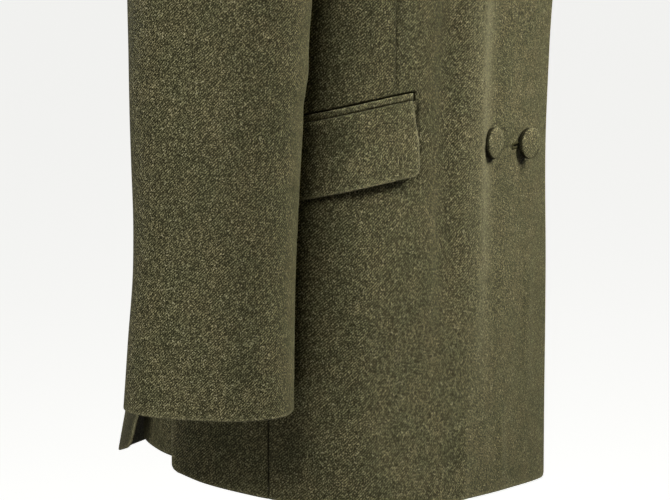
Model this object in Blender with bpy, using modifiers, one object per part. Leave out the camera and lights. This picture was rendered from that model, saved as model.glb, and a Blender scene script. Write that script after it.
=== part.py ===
"""A double-breasted tailored jacket in heavy wool twill, filled out as when it is worn.

Frame: +Z up, metres. The front faces -Y and the wearer's left side is +X. The origin lies on the
shoulder line, midway between the two points where the shoulder seams meet the neck.
Sizes are given in millimetres and turned to metres where the meshes are made.
"""
import math

import bpy
import bmesh
from mathutils import Euler, Vector

MM = 0.001

# Driving dimensions, in millimetres
CLOTH = 2.0                 # thickness of the wool twill
SEAM_GAP = 0.3              # space between two pieces that are sewn together
LAY_GAP = 0.9               # space under a piece that lies on another one
UNDERLAP_GAP = 1.5          # space over the vent's underlap
HEM_HEIGHT = -772.0         # side and front hem
SHOULDER_HEIGHT = -48.0     # end of the shoulder seam, where the sleeve begins
NECK_HEIGHT = -8.0          # neckline at the back and at the sides of the neck
EDGE_X = 61.0               # front edges reach this far past the middle
BREAK_HEIGHT = -352.0       # the lapels turn back above this height
LAP_STAND = 15.0            # the right front stands about this far off the form at its edge
LAP_FROM_ANGLE = -60.0      # and begins to stand off here
LAP_TO_ANGLE = 26.0
LAP_FADE = (-235.0, -60.0)  # both fronts come together between these heights
TUCK_ANGLES = (-30.0, 10.0)
TUCK = 4.0                  # the left front lies this much deeper where it is lapped over
LEFT_CORNER_RISE = 12.0     # and is this much shorter at its corner
LAPEL_LIFT = 2.7            # space under the lapels
FRONT_SEAM_ANGLE = 84.6     # seam between front and side panel, from the centre front
VENT_SEAM_ANGLE = 111.0     # seam between side panel and back, at the hem
BACK_SEAM_TOP_ANGLE = 104.0  # the same seam where it meets the armhole
BACK_SEAM_RISE = 30.0       # it reaches that angle this far over the armhole's bottom
VENT_LENGTH = 215.0
VENT_KICK_EDGE = 43.5       # how far the back skirt swings out at the edge of a vent
VENT_KICK_MIDDLE = 13.0     # and at the centre back
VENT_INWARD = 0.37          # share of the swing that goes towards the middle
VENT_BEND = 1.35            # more than 1 bends the skirt, instead of tilting it
VENT_CURL = 12.0            # the skirt's free corner curls up by this much
VENT_DROP_EDGE = 4.5        # the back's hem hangs lower by this much at the edge of a vent
VENT_DROP_MIDDLE = 14.0     # and at the centre back
UNDERLAP_SWING = 7.0        # how far the underlap's free edge stands off at the hem
UNDERLAP_ANGLE = 34.0       # its width, as an angle round the body
UNDERLAP_TUCK = 6.0         # it begins this many degrees inside the side panel's edge
UNDERLAP_SHORTER = 11.0     # its hem is this much higher than the side panel's
UNDERLAP_TOP_SPACE = 5.0    # its top stays this far below the top of the vent
ARMHOLE_DEPTH = 20.0        # how far the armhole is cut in from the side of the body
ARMHOLE_BOTTOM = -236.0
ARMHOLE_GAP = 0.8           # the sleeve's edge stays this far from the body
CUFF_HEIGHT = -672.0
POCKET_FRONT_ANGLE = 50.0
POCKET_BACK_ANGLE = 93.0
POCKET_HEIGHT = -431.5      # top of the welt at its front end
POCKET_SLANT = 26.5         # the pocket drops by this much towards the back
WELT_WIDTH = 5.5
FLAP_DEPTH = 60.0
FLAP_STAND = 1.2            # the flap's lower edge stands off by this much more than its top
WELT_START = 0.02           # share of the pocket's length where the welt begins

# The body of the jacket, a horizontal section at each height
TORSO = (
    # height, half_width, front_depth, back_depth, squareness
    (-800.0, 204.0, 150.0, 141.0, 2.30),
    (-690.0, 204.0, 150.0, 139.0, 2.30),
    (-600.0, 203.0, 150.0, 136.0, 2.30),
    (-500.0, 202.0, 149.0, 131.0, 2.30),
    (-420.0, 201.0, 151.0, 127.0, 2.28),
    (-330.0, 202.0, 157.0, 129.0, 2.25),
    (-260.0, 205.0, 159.5, 134.0, 2.25),
    (-200.0, 209.0, 154.0, 136.0, 2.20),
    (-140.0, 211.0, 136.0, 129.0, 2.10),
    (-90.0, 210.0, 108.0, 113.0, 2.00),
    (-60.0, 207.0, 84.0, 96.0, 2.00),
    (-48.0, 204.0, 74.0, 87.0, 2.00),
    (-36.0, 168.0, 64.0, 78.0, 2.00),
    (-22.0, 126.0, 57.0, 69.0, 2.00),
    (-8.0, 84.0, 51.0, 61.0, 2.00),
    (0.0, 76.0, 49.0, 58.0, 2.00),
)

# The hem isn't level: it dips at the front edge and rises to the vents
HEM_LINE = (
    # angle, shift
    (-180.0, 30.0),
    (-111.0, 30.0),
    (-100.0, 25.5),
    (-60.0, 9.0),
    (-20.0, 0.0),
    (25.0, -12.0),
)

# The head of the sleeve: rings that turn about the underarm, from upright to level
SLEEVE_HEAD = (
    # turn, reach, half_width, underarm_x, underarm_z
    (0.0, 187.0, 70.0, 211.0, -236.5),
    (6.0, 184.0, 71.0, 213.5, -238.0),
    (13.0, 174.0, 72.0, 214.5, -241.0),
    (24.0, 149.0, 73.0, 215.3, -246.0),
    (38.0, 121.0, 73.5, 215.8, -250.0),
    (56.0, 103.0, 73.5, 216.0, -255.0),
    (74.0, 94.0, 72.5, 216.0, -261.0),
    (90.0, 90.0, 72.0, 216.0, -268.0),
)

# The arm of the sleeve: level rings from the underarm to the cuff
SLEEVE_ARM = (
    # height, centre_x, centre_y, half_thickness, half_width, turn, squareness
    (-268.0, 261.0, -6.0, 45.0, 72.0, 0.0, 2.2),
    (-330.0, 261.0, -4.0, 45.0, 70.0, 2.0, 2.3),
    (-400.0, 260.5, -2.0, 44.5, 66.5, 4.0, 2.4),
    (-480.0, 259.5, 0.0, 43.5, 62.0, 6.0, 2.5),
    (-560.0, 258.0, 2.8, 42.0, 60.3, 7.0, 2.5),
    (-620.0, 257.5, 6.4, 41.5, 62.4, 8.0, 2.5),
    (-690.0, 257.0, 10.0, 41.0, 65.0, 8.0, 2.5),
)
SLEEVE_SEAM_TURN = 0.12         # half the space at a sleeve's seams, in degrees
FOREARM_SEAM_HEIGHT = -200.0    # where each of the sleeve's seams meets the armhole
HINDARM_SEAM_HEIGHT = -140.0
SLEEVE_LEAVES = 2.0             # past its edge the sleeve is at least this far off the armhole
ARMHOLE_SHAPE_TO = 0.22         # the rings keep the armhole's outline up to this position
ARMHOLE_CURVE_TO = 0.3          # and its inward curve up to this one
ARM_CENTRE_TO = 0.7             # the rings are centred on the arm from this one on

# The lapel in front view, on the wearer's right, as (x, height)
GORGE_POINT = (-58.0, -62.0)        # where the collar seam meets the fold
NOTCH_POINT = (-110.0, -90.0)
PEAK_POINT = (-158.0, -76.0)
LAPEL_BELLY = 20.0                  # how far the lapel's outer edge bows out
LAPEL_BELLY_POWER = 0.8             # below 1 the bow is fullest nearer the foot
PEAK_SHARE = 0.84                   # the peak lies at this share of the lapel's length
LAPEL_FIRST_SHARE = 0.05            # where along this length the cloth of the lapel begins
HIDDEN_LAPEL_FIRST_SHARE = 0.12     # the same on the left, under the right front
LAPEL_FOOT = 14.0                   # least width of the lapel, at its foot
ROLL_TOP_X = -82.0                  # the fold line meets the side of the neck here

# The collar's right half, from the gorge to the centre back
COLLAR = (
    # place, stand, edge_angle, edge_height
    (0.00, 3.5, -61.5, -60.0),
    (0.06, 5.0, -61.5, -60.0),
    (0.15, 8.5, -65.5, -44.0),
    (0.26, 13.0, -71.5, -30.0),
    (0.40, 19.0, -83.0, -19.0),
    (0.55, 23.0, -100.0, -17.5),
    (0.70, 25.5, -122.0, -19.5),
    (0.85, 27.5, -150.0, -22.5),
    (1.00, 28.0, -180.0, -24.0),
)
COLLAR_SIDE = 0.4                   # place where the collar passes the side of the neck
COLLAR_START = 3.5                  # it begins this far above the gorge point
COLLAR_CORNER = (-106.0, -81.2)     # front view of its lower corner, beside the lapel's notch
COLLAR_FOOT_GAP = 0.8               # space between the stand and the neckline
GORGE_SLANT = (0.88, 0.0, 0.48)     # the stand's direction at the gorge, square to the fold
COLLAR_PLACES = (0.0, 0.06, 0.12, 0.18, 0.25, 0.32, 0.4, 0.48, 0.55, 0.62, 0.7, 0.78, 0.85, 0.93)
COLLAR_LIFT = 2.4                   # space under the collar's outer edge
COLLAR_LEAN = 0.1                   # the stand leans in towards the neck by this slope
COLLAR_HIP = 0.3                    # the fall is roundest at this share of the stand's height

# The buttons: radius as a share of the button's, height over its shank
BUTTON_PROFILE = (
    # share, height
    (0.9, 0.2),
    (0.985, 1.2),
    (1.0, 3.4),
    (0.975, 5.0),
    (0.9, 5.5),
    (0.5, 6.1),
    (0.0, 6.3),
)
BUTTON_FASTENED = (8.0, -491.0)     # x and height
BUTTON_SHOW = (-56.0, -483.0)
BUTTON_DIAMETER = 25.5
FASTENED_STAND = 3.6                # shank seen between the fastened button and the cloth
SHOW_STAND = 1.6
SHANK_DIAMETER = 3.0
BUTTON_TILT = -20.0                 # the fastened button is pulled round by its buttonhole
BUTTONHOLE_LENGTH = 26.0
BUTTONHOLE_WIDTH = 4.0
BUTTONHOLE_CUT = 16.0               # depth of the cutter, more than the cloth's thickness

WOOL = (0.072, 0.066, 0.035)            # linear colours
WOOL_BUTTON = (0.090, 0.083, 0.045)
WOOL_ROUGHNESS = 0.92
SHARP_ANGLE = 40.0                      # edges that turn by more degrees are shaded sharp


def slopes(knots, values):
    """Slopes of a smooth curve through the values that never overshoots them."""
    steps = [(values[i + 1] - values[i]) / (knots[i + 1] - knots[i]) for i in range(len(knots) - 1)]
    inner = [2 * a * b / (a + b) if a * b > 0 else 0.0 for a, b in zip(steps, steps[1:])]
    return [steps[0]] + inner + [steps[-1]]


def read_table(table, position):
    """Every column of the table at a position between its rows, with smooth passages."""
    rows = sorted(table)
    knots = [row[0] for row in rows]
    position = min(max(position, knots[0]), knots[-1])
    i = max(k for k in range(len(knots) - 1) if knots[k] <= position)
    width = knots[i + 1] - knots[i]
    t = (position - knots[i]) / width
    result = []
    for column in range(1, len(rows[0])):
        values = [row[column] for row in rows]
        slope = slopes(knots, values)
        result.append(
            values[i] * (1 + 2 * t) * (1 - t) ** 2
            + values[i + 1] * t * t * (3 - 2 * t)
            + width * slope[i] * t * (1 - t) ** 2
            + width * slope[i + 1] * t * t * (t - 1)
        )
    return result


def ease(value, low, high):
    """0 below low, 1 above high and a smooth passage between them."""
    t = min(max((value - low) / (high - low), 0.0), 1.0)
    return t * t * (3 - 2 * t)


def spread(start, end, count):
    """Evenly spaced values from start to end."""
    return [start + (end - start) * i / (count - 1) for i in range(count)]


# ---------------------------------------------------------------- the body's form

def form_point(angle, height):
    """A point of the body's inner face. Angle 0 is the centre front, -90 the wearer's right side.
    The left side is made by mirroring."""
    half_width, front_depth, back_depth, squareness = read_table(TORSO, height)
    turn = math.radians(angle)
    across = math.sin(turn)
    forward = math.cos(turn)
    depth = front_depth if forward > 0 else back_depth
    reach = (abs(across) / half_width) ** squareness + (abs(forward) / depth) ** squareness
    radius = reach ** (-1 / squareness)
    shift = read_table(HEM_LINE, angle)[0] * near_hem(height)
    return Vector((radius * across, -radius * forward, height + shift))


def near_hem(height):
    """1 at the hem, 0 above the vents."""
    return 1 - ease(height, HEM_HEIGHT, HEM_HEIGHT + VENT_LENGTH)


def skirt_swing(angle, height):
    """How the back skirt swings out behind, below the top of the vents."""
    below = (HEM_HEIGHT + VENT_LENGTH - height) / VENT_LENGTH
    if below <= 0:
        return Vector((0, 0, 0))
    side = (180.0 + angle) / (180.0 - VENT_SEAM_ANGLE)
    kick = VENT_KICK_MIDDLE + (VENT_KICK_EDGE - VENT_KICK_MIDDLE) * side * side
    kick *= below ** VENT_BEND
    curl = VENT_CURL * side ** 4 * below ** 2
    drop = (VENT_DROP_MIDDLE + (VENT_DROP_EDGE - VENT_DROP_MIDDLE) * side) * below ** 2
    rise = kick * kick / (2 * VENT_LENGTH) + curl - drop
    return Vector((VENT_INWARD * side * kick, kick, rise))


def body_point(angle, height, out=0.0, swings=False):
    """A point of the body moved straight out of its surface by a distance."""
    step_round = form_point(angle + 0.5, height) - form_point(angle - 0.5, height)
    step_up = form_point(angle, height + 1.0) - form_point(angle, height - 1.0)
    normal = step_round.cross(step_up).normalized()
    point = form_point(angle, height) + normal * out
    return point + skirt_swing(angle, height) if swings else point


def angle_at(x, height, behind=False):
    """The angle at which the body's section reaches a sideways position x."""
    half_width, front_depth, back_depth, squareness = read_table(TORSO, height)
    share = min(abs(x) / half_width, 1.0)
    depth = back_depth if behind else front_depth
    forward = depth * (1 - share ** squareness) ** (1 / squareness)
    angle = math.degrees(math.atan2(abs(x), -forward if behind else forward))
    return math.copysign(angle, x)


def armhole_x(height):
    """Sideways position of the armhole's edge at a height."""
    half_width = read_table(TORSO, height)[0]
    share = (height - ARMHOLE_BOTTOM) / (SHOULDER_HEIGHT - ARMHOLE_BOTTOM)
    share = min(max(share, 0.0), 1.0)
    return half_width - ARMHOLE_DEPTH * 4 * share * (1 - share)


def armhole_angle(height, behind=False):
    """The angle of the armhole's front or back edge at a height."""
    return angle_at(armhole_x(height), height, behind)


def armhole_floor(angle):
    """Height of the armhole's lower edge at an angle near the side of the body."""
    behind = angle > 90.0
    low, high = ARMHOLE_BOTTOM, (ARMHOLE_BOTTOM + SHOULDER_HEIGHT) / 2
    for _ in range(30):
        middle = (low + high) / 2
        inside = abs(armhole_angle(middle, behind) - 90.0) < abs(angle - 90.0)
        low, high = (middle, high) if inside else (low, middle)
    return low


def back_seam_angle(height):
    """Angle of the seam between the side panel and the back."""
    share = ease(height, HEM_HEIGHT + VENT_LENGTH, ARMHOLE_BOTTOM + BACK_SEAM_RISE)
    return VENT_SEAM_ANGLE + (BACK_SEAM_TOP_ANGLE - VENT_SEAM_ANGLE) * share


def roll_x(height):
    """Sideways position of the right front's edge: the front edge, then the fold of the lapel."""
    share = min(max((height - BREAK_HEIGHT) / (NECK_HEIGHT - BREAK_HEIGHT), 0.0), 1.0)
    return EDGE_X + (ROLL_TOP_X - EDGE_X) * share


def right_front_point(angle, height, out=0.0):
    """A point of the right front, which stands off the form towards its edge."""
    share = min(max((angle - LAP_FROM_ANGLE) / (LAP_TO_ANGLE - LAP_FROM_ANGLE), 0.0), 1.0)
    lapping = share * share * (1 - ease(height, *LAP_FADE))
    return body_point(angle, height, out + LAP_STAND * lapping)


def left_front_point(angle, height, out=0.0):
    """The same for the left front before it is mirrored. It lies deeper towards its edge, and its
    corner is cut shorter, so that it stays hidden."""
    under = ease(angle, *TUCK_ANGLES) * (1 - ease(height, *LAP_FADE))
    point = body_point(angle, height, out - TUCK * under)
    point.z += LEFT_CORNER_RISE * under * near_hem(height)
    return point


def seam_turn(distance, height, angle):
    """The angle that a short distance along the cloth covers at this place."""
    reach = form_point(angle, height)
    return math.degrees(distance / math.hypot(reach.x, reach.y))


# ---------------------------------------------------------------- making meshes

def make_material(name, colour, roughness):
    material = bpy.data.materials.new(name)
    material.use_nodes = True
    shader = material.node_tree.nodes["Principled BSDF"]
    shader.inputs["Base Color"].default_value = (*colour, 1.0)
    shader.inputs["Roughness"].default_value = roughness
    shader.inputs["Metallic"].default_value = 0.0
    material.diffuse_color = (*colour, 1.0)
    return material


def add_object(name, mesh, colour):
    """An object of the jacket, with a material of its own."""
    mesh.materials.append(make_material(name + "_cloth", colour, WOOL_ROUGHNESS))
    piece = bpy.data.objects.new(name, mesh)
    JACKET.objects.link(piece)
    mesh.shade_smooth()
    mesh.set_sharp_from_angle(angle=math.radians(SHARP_ANGLE))
    return piece


def make_cloth(name, rows):
    """A wall of cloth through rows of points on its inner face. Each row runs to the right as
    seen from outside, and the rows go up."""
    shape = bmesh.new()
    grid = [[shape.verts.new(point * MM) for point in row] for row in rows]
    for lower, upper in zip(grid, grid[1:]):
        for i in range(len(lower) - 1):
            shape.faces.new((lower[i], lower[i + 1], upper[i + 1], upper[i]))
    mesh = bpy.data.meshes.new(name)
    shape.to_mesh(mesh)
    shape.free()
    piece = add_object(name, mesh, WOOL)
    wall = piece.modifiers.new("cloth_thickness", 'SOLIDIFY')
    wall.thickness = CLOTH * MM
    wall.offset = 1.0
    wall.use_even_offset = False
    return piece


def mirrored(rows):
    """The same rows for the other side of the jacket, still running the right way."""
    return [[Vector((-point.x, point.y, point.z)) for point in reversed(row)] for row in rows]


def both_sides(name, right_rows):
    """The same cut for the wearer's right and left."""
    make_cloth(name + "_right", right_rows)
    make_cloth(name + "_left", mirrored(right_rows))


# ---------------------------------------------------------------- fronts

# Heights of the rows that every panel of the body shares, so that its seams match
SKIRT_HEIGHTS = [HEM_HEIGHT + step for step in (0.0, 45.0, 90.0, 135.0, 180.0, VENT_LENGTH)]
LOWER_HEIGHTS = SKIRT_HEIGHTS + [-510.0, -460.0, -405.0, -352.0, -305.0, -266.0]
CHEST_HEIGHTS = [-200.0, -170.0, -140.0, -112.0, -86.0, -64.0, SHOULDER_HEIGHT, -36.0, -22.0, NECK_HEIGHT]


def front_outer_angle(height):
    """Where the right front ends at the side: seam, armhole, then shoulder seam."""
    if height >= SHOULDER_HEIGHT:
        end = 90.0
    elif height > armhole_floor(FRONT_SEAM_ANGLE):
        end = armhole_angle(height)
    else:
        end = FRONT_SEAM_ANGLE
    return end - seam_turn(SEAM_GAP / 2, height, end)


def make_front(name, surface, mirror):
    """A front, from the side panel to its edge."""
    rows = []
    for height in LOWER_HEIGHTS + [armhole_floor(FRONT_SEAM_ANGLE)] + CHEST_HEIGHTS:
        edge = angle_at(roll_x(height), height)
        angles = spread(-front_outer_angle(height), edge, 14)
        rows.append([surface(angle, height) for angle in angles])
    return make_cloth(name, mirrored(rows) if mirror else rows)


def lapel_row(share):
    """Both ends of a row across the lapel in front view, on the wearer's right."""
    top = Vector((roll_x(NECK_HEIGHT), NECK_HEIGHT))
    low = Vector((EDGE_X, BREAK_HEIGHT))
    gorge = Vector(GORGE_POINT)
    peak = Vector(PEAK_POINT)
    notch = Vector(NOTCH_POINT)
    inner = low.lerp(top, share * (gorge.y - low.y) / (top.y - low.y))
    if share <= PEAK_SHARE:
        t = share / PEAK_SHARE
        along = (peak - low).normalized()
        bow = Vector((-along.y, along.x)) * LAPEL_BELLY * math.sin(math.pi * t ** LAPEL_BELLY_POWER)
        outer = low.lerp(peak, t) + bow
    else:
        outer = peak.lerp(notch, (share - PEAK_SHARE) / (1 - PEAK_SHARE))
    if (outer - inner).length < LAPEL_FOOT:
        outer = inner + (outer - inner).normalized() * LAPEL_FOOT
    return inner, outer


# Across the lapel: how far out from the fold line, share of its width, height over the front
LAPEL_PROFILE = (
    # beyond_fold, share, lift
    (0.7, 0.0, 0.3),
    (1.9, 0.0, 1.7),
    (1.0, 0.0, 3.2),
    (-4.0, 0.05, CLOTH + LAPEL_LIFT),
    (0.0, 0.28, CLOTH + LAPEL_LIFT),
    (0.0, 0.52, CLOTH + LAPEL_LIFT),
    (0.0, 0.76, CLOTH + LAPEL_LIFT),
    (0.0, 1.0, CLOTH + LAPEL_LIFT),
)


def make_lapel(name, surface, first_share, mirror):
    """A lapel: the facing turned back along the fold, lying on the chest."""
    rows = []
    for step in (0, 0.14, 0.3, 0.46, 0.6, 0.73, 0.84, 0.92, 1):
        inner, outer = lapel_row(first_share + (1 - first_share) * step)
        row = []
        for beyond_fold, share, lift in LAPEL_PROFILE:
            spot = inner.lerp(outer, share)
            x = spot.x + beyond_fold
            row.append(surface(angle_at(x, spot.y), spot.y, lift))
        rows.append(list(reversed(row)))
    make_cloth(name, mirrored(rows) if mirror else rows)


# ---------------------------------------------------------------- side panels and back

def make_side_panels():
    rows = []
    for height in LOWER_HEIGHTS + [None]:
        row = []
        for across in spread(0.0, 1.0, 5):
            level = armhole_floor(BACK_SEAM_TOP_ANGLE) if height is None else height
            back = -back_seam_angle(level) + seam_turn(SEAM_GAP / 2, level, VENT_SEAM_ANGLE)
            front = -FRONT_SEAM_ANGLE - seam_turn(SEAM_GAP / 2, level, FRONT_SEAM_ANGLE)
            angle = back + (front - back) * across
            row.append(body_point(angle, armhole_floor(-angle) if height is None else height))
        rows.append(row)
    both_sides("side_panel", rows)


def make_backs():
    seam_top = armhole_floor(BACK_SEAM_TOP_ANGLE)
    rows = []
    for height in LOWER_HEIGHTS + [seam_top] + CHEST_HEIGHTS:
        if height >= SHOULDER_HEIGHT:
            outer = 90.0
        elif height > seam_top:
            outer = armhole_angle(height, behind=True)
        else:
            outer = back_seam_angle(height)
        outer += seam_turn(SEAM_GAP / 2, height, outer)
        middle = 180.0 - seam_turn(SEAM_GAP / 2, height, 180.0)
        row = []
        for angle in spread(-middle, -outer, 8):
            row.append(body_point(angle, height, swings=True))
        rows.append(row)
    both_sides("back", rows)


def make_vent_underlaps():
    """The side panels' extensions that lie under the back skirt, seen where it swings out."""
    rows = []
    for share in spread(0.0, 1.0, 6):
        height = HEM_HEIGHT + UNDERLAP_SHORTER + share * (VENT_LENGTH - UNDERLAP_SHORTER - UNDERLAP_TOP_SPACE)
        row = []
        for across in spread(0.0, 1.0, 4):
            angle = UNDERLAP_TUCK - VENT_SEAM_ANGLE - UNDERLAP_ANGLE * across
            out = UNDERLAP_SWING * across * (1 - share) - CLOTH - UNDERLAP_GAP
            row.append(body_point(angle, height, out))
        rows.append(list(reversed(row)))
    both_sides("vent_underlap", rows)


# ---------------------------------------------------------------- sleeves

def sleeve_ring(position, angle):
    """A point of the right sleeve's inner face. Positions 0 to 1 turn round the underarm,
    1 to 2 go down the arm. Angle 0 is the outer side, 90 the front."""
    turn = math.radians(angle)
    if position < 1.0:
        degrees, reach, half_width, under_x, under_z = read_table(
            [(row[0] / 90.0, *row) for row in SLEEVE_HEAD], position)
        tilt = math.radians(degrees)
        outward = Vector((-math.sin(tilt), 0, math.cos(tilt)))
        centre_y = SLEEVE_ARM[0][2] * ease(position, 0.0, ARM_CENTRE_TO)
        squareness = 2.0 + 0.2 * position
        pivot = Vector((-under_x, centre_y, under_z))
        long_share, cross_share = superellipse(turn, squareness)
        point = pivot + outward * (reach / 2) * (1 + long_share)
        point.y -= half_width * cross_share
        seam_share = (SHOULDER_HEIGHT - point.z) / (SHOULDER_HEIGHT - ARMHOLE_BOTTOM)
        seam_share = min(max(seam_share, 0.0), 1.0)
        fade = 1 - ease(position, 0.0, ARMHOLE_CURVE_TO)
        point.x += ARMHOLE_DEPTH * 4 * seam_share * (1 - seam_share) * fade
        return point
    height = SLEEVE_ARM[0][0] + (position - 1.0) * (CUFF_HEIGHT - SLEEVE_ARM[0][0])
    centre_x, centre_y, thickness, half_width, twist, squareness = read_table(SLEEVE_ARM, height)
    out_share, front_share = superellipse(turn, squareness)
    x = -thickness * out_share
    y = -half_width * front_share
    twist = math.radians(twist)
    return Vector((
        -centre_x + x * math.cos(twist) - y * math.sin(twist),
        centre_y + x * math.sin(twist) + y * math.cos(twist),
        height,
    ))


def superellipse(turn, squareness):
    """Shares of the two half axes at an angle round a rounded rectangle."""
    c = math.cos(turn)
    s = math.sin(turn)
    radius = (abs(c) ** squareness + abs(s) ** squareness) ** (-1 / squareness)
    return radius * c, radius * s


def armhole_corners():
    """The armhole's corners as (angle round the sleeve, angle round the body, height), on the right:
    from the shoulder down the front, under the arm and up the back."""
    middle = (SHOULDER_HEIGHT + ARMHOLE_BOTTOM) / 2
    half = (SHOULDER_HEIGHT - ARMHOLE_BOTTOM) / 2
    edge_heights = [height for height in CHEST_HEIGHTS if height < SHOULDER_HEIGHT]
    front = [(armhole_angle(height), height) for height in reversed(edge_heights)]
    floor = [(angle, armhole_floor(angle)) for angle in spread(FRONT_SEAM_ANGLE, BACK_SEAM_TOP_ANGLE, 5)]
    back = [(armhole_angle(height, True), height) for height in edge_heights]
    corners = [(0.0, -90.0, SHOULDER_HEIGHT)]
    for body_angle, height in front + floor + back:
        turn = math.degrees(math.acos((height - middle) / half))
        corners.append((turn if body_angle < 90.0 else 360.0 - turn, -body_angle, height))
    corners.append((360.0, -90.0, SHOULDER_HEIGHT))
    return corners


def armhole_start(body_angle, height):
    """The sleeve's own edge: the armhole's points moved clear of the body's cloth."""
    on_edge = form_point(body_angle, height)
    clear = body_point(body_angle, height, CLOTH) - on_edge
    return on_edge + Vector((clear.x - ARMHOLE_GAP, 0, 0))


SLEEVE_POSITIONS = [0.0, 0.07, 0.15, 0.26, 0.4, 0.6, 0.8] + spread(1.0, 2.0, 9)


def make_sleeves():
    """Each sleeve is a top and an under piece. Their lengthwise seams lie in front and behind."""
    corners = armhole_corners()
    heights = [round(corner[2], 1) for corner in corners]
    fore = heights.index(FOREARM_SEAM_HEIGHT)
    hind = len(heights) - 1 - heights[::-1].index(HINDARM_SEAM_HEIGHT)
    over_the_top = [(turn - 360.0, angle, height) for turn, angle, height in corners[hind:-1]]
    for name, columns in (
        ("sleeve_top", over_the_top + corners[:fore + 1]),
        ("sleeve_under", corners[fore:hind + 1]),
    ):
        starts = [armhole_start(body_angle, height) for turn, body_angle, height in columns]
        first = (starts[1] - starts[0]).normalized() * SEAM_GAP / 2
        last = (starts[-2] - starts[-1]).normalized() * SEAM_GAP / 2
        starts[0] += first
        starts[-1] += last
        rows = []
        for position in reversed(SLEEVE_POSITIONS):
            row = []
            for i, start in enumerate(starts):
                inset = SLEEVE_SEAM_TURN * ((i == 0) - (i == len(columns) - 1))
                point = sleeve_ring(position, columns[i][0] + inset)
                share = ease(position, 0.0, ARMHOLE_SHAPE_TO)
                x = start.x if position == 0.0 else min(point.x, start.x - SLEEVE_LEAVES)
                row.append(Vector((x, *start.yz.lerp(point.yz, share))))
            rows.append(row)
        both_sides(name, rows)


# ---------------------------------------------------------------- collar

def collar_foot(place):
    """Where the stand meets the neckline: up the front's edge, then round the back of the neck."""
    side_angle = angle_at(ROLL_TOP_X, NECK_HEIGHT)
    if place <= COLLAR_SIDE:
        low = GORGE_POINT[1] + COLLAR_START
        height = low + (NECK_HEIGHT - low) * place / COLLAR_SIDE
        angle = angle_at(roll_x(height), height)
    else:
        height = NECK_HEIGHT
        angle = side_angle + (-180.0 - side_angle) * (place - COLLAR_SIDE) / (1 - COLLAR_SIDE)
    foot = form_point(angle, height)
    normal = body_point(angle, height, 1.0) - foot
    level = Vector((foot.x, foot.y, 0)).normalized()
    return foot, normal.lerp(level, ease(place, 0.0, COLLAR_SIDE)).normalized()


def collar_line(place, share):
    """A point of the stand's inner face on the right half, from its foot, 0, to the fold, 1."""
    foot, away = collar_foot(place)
    stand = read_table(COLLAR, place)[0]
    upright = ease(place, 0.0, COLLAR_SIDE)
    slant = Vector(GORGE_SLANT).lerp(Vector((0, 0, 1)) - away * COLLAR_LEAN, upright).normalized()
    return foot + slant * (COLLAR_FOOT_GAP + stand * share) - away * (CLOTH + COLLAR_FOOT_GAP) * upright


def collar_fall_point(place, share):
    """A point of the fall's inner face on the right half, from its outer edge, 0, to the fold, 1."""
    edge_angle, edge_height = read_table(COLLAR, place)[1:]
    edge = body_point(edge_angle, edge_height, CLOTH + COLLAR_LIFT)
    if place == 0.0:
        edge = body_point(angle_at(*COLLAR_CORNER), COLLAR_CORNER[1], CLOTH + COLLAR_LIFT)
    away = collar_foot(place)[1]
    top = collar_line(place, 1.0) + away * (CLOTH + SEAM_GAP)
    hip = collar_line(place, COLLAR_HIP) + away * (2 * CLOTH + COLLAR_LIFT)
    back = 1 - share
    return top * share * share + hip * 2 * share * back + edge * back * back


def make_collar():
    """The stand rises from the neckline, and the fall comes down over it from the fold."""
    for name, point_at, shares in (
        ("collar_stand", collar_line, (0.0, 0.5, 1.0)),
        ("collar_fall", collar_fall_point, (0.0, 0.2, 0.4, 0.6, 0.8, 1.0)),
    ):
        rows = []
        for share in shares:
            right = [point_at(place, share) for place in COLLAR_PLACES]
            left = mirrored([list(reversed(right))])[0]
            rows.append(left + [point_at(1.0, share)] + list(reversed(right)))
        make_cloth(name, rows)


# ---------------------------------------------------------------- pockets and buttons

def pocket_point(surface, across, down, out):
    """A point over a front, from the pocket's front end backwards and down from its mouth."""
    angle = POCKET_FRONT_ANGLE + (POCKET_BACK_ANGLE - POCKET_FRONT_ANGLE) * across
    height = POCKET_HEIGHT - POCKET_SLANT * across - down
    return surface(-angle, height, out)


# The flap from its top edge down: share of its depth, front end and back end along the pocket
FLAP_OUTLINE = (
    # down, front, back
    (0.0, 0.03, 0.985),
    (0.22, 0.01, 0.99),
    (0.6, 0.0, 0.995),
    (0.92, 0.0, 0.995),
    (1.0, 0.035, 0.96),
)


def make_pockets():
    for side, surface in (("right", right_front_point), ("left", left_front_point)):
        welt = []
        for down in (WELT_WIDTH, 0.0):
            welt.append([pocket_point(surface, across, down, CLOTH + LAY_GAP)
                         for across in spread(1.0, WELT_START, 10)])
        flap = []
        for share, front, back in reversed(FLAP_OUTLINE):
            down = WELT_WIDTH + SEAM_GAP + FLAP_DEPTH * share
            lift = CLOTH + LAY_GAP + FLAP_STAND * share
            flap.append([pocket_point(surface, across, down, lift) for across in spread(back, front, 10)])
        left = side == "left"
        make_cloth("pocket_welt_" + side, mirrored(welt) if left else welt)
        make_cloth("pocket_flap_" + side, mirrored(flap) if left else flap)


def on_right_front(x, height):
    """A place on the outside of the right front and the direction that the cloth faces there."""
    angle = angle_at(x, height)
    place = right_front_point(angle, height, CLOTH)
    return place, (place - right_front_point(angle, height)).normalized()


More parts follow.
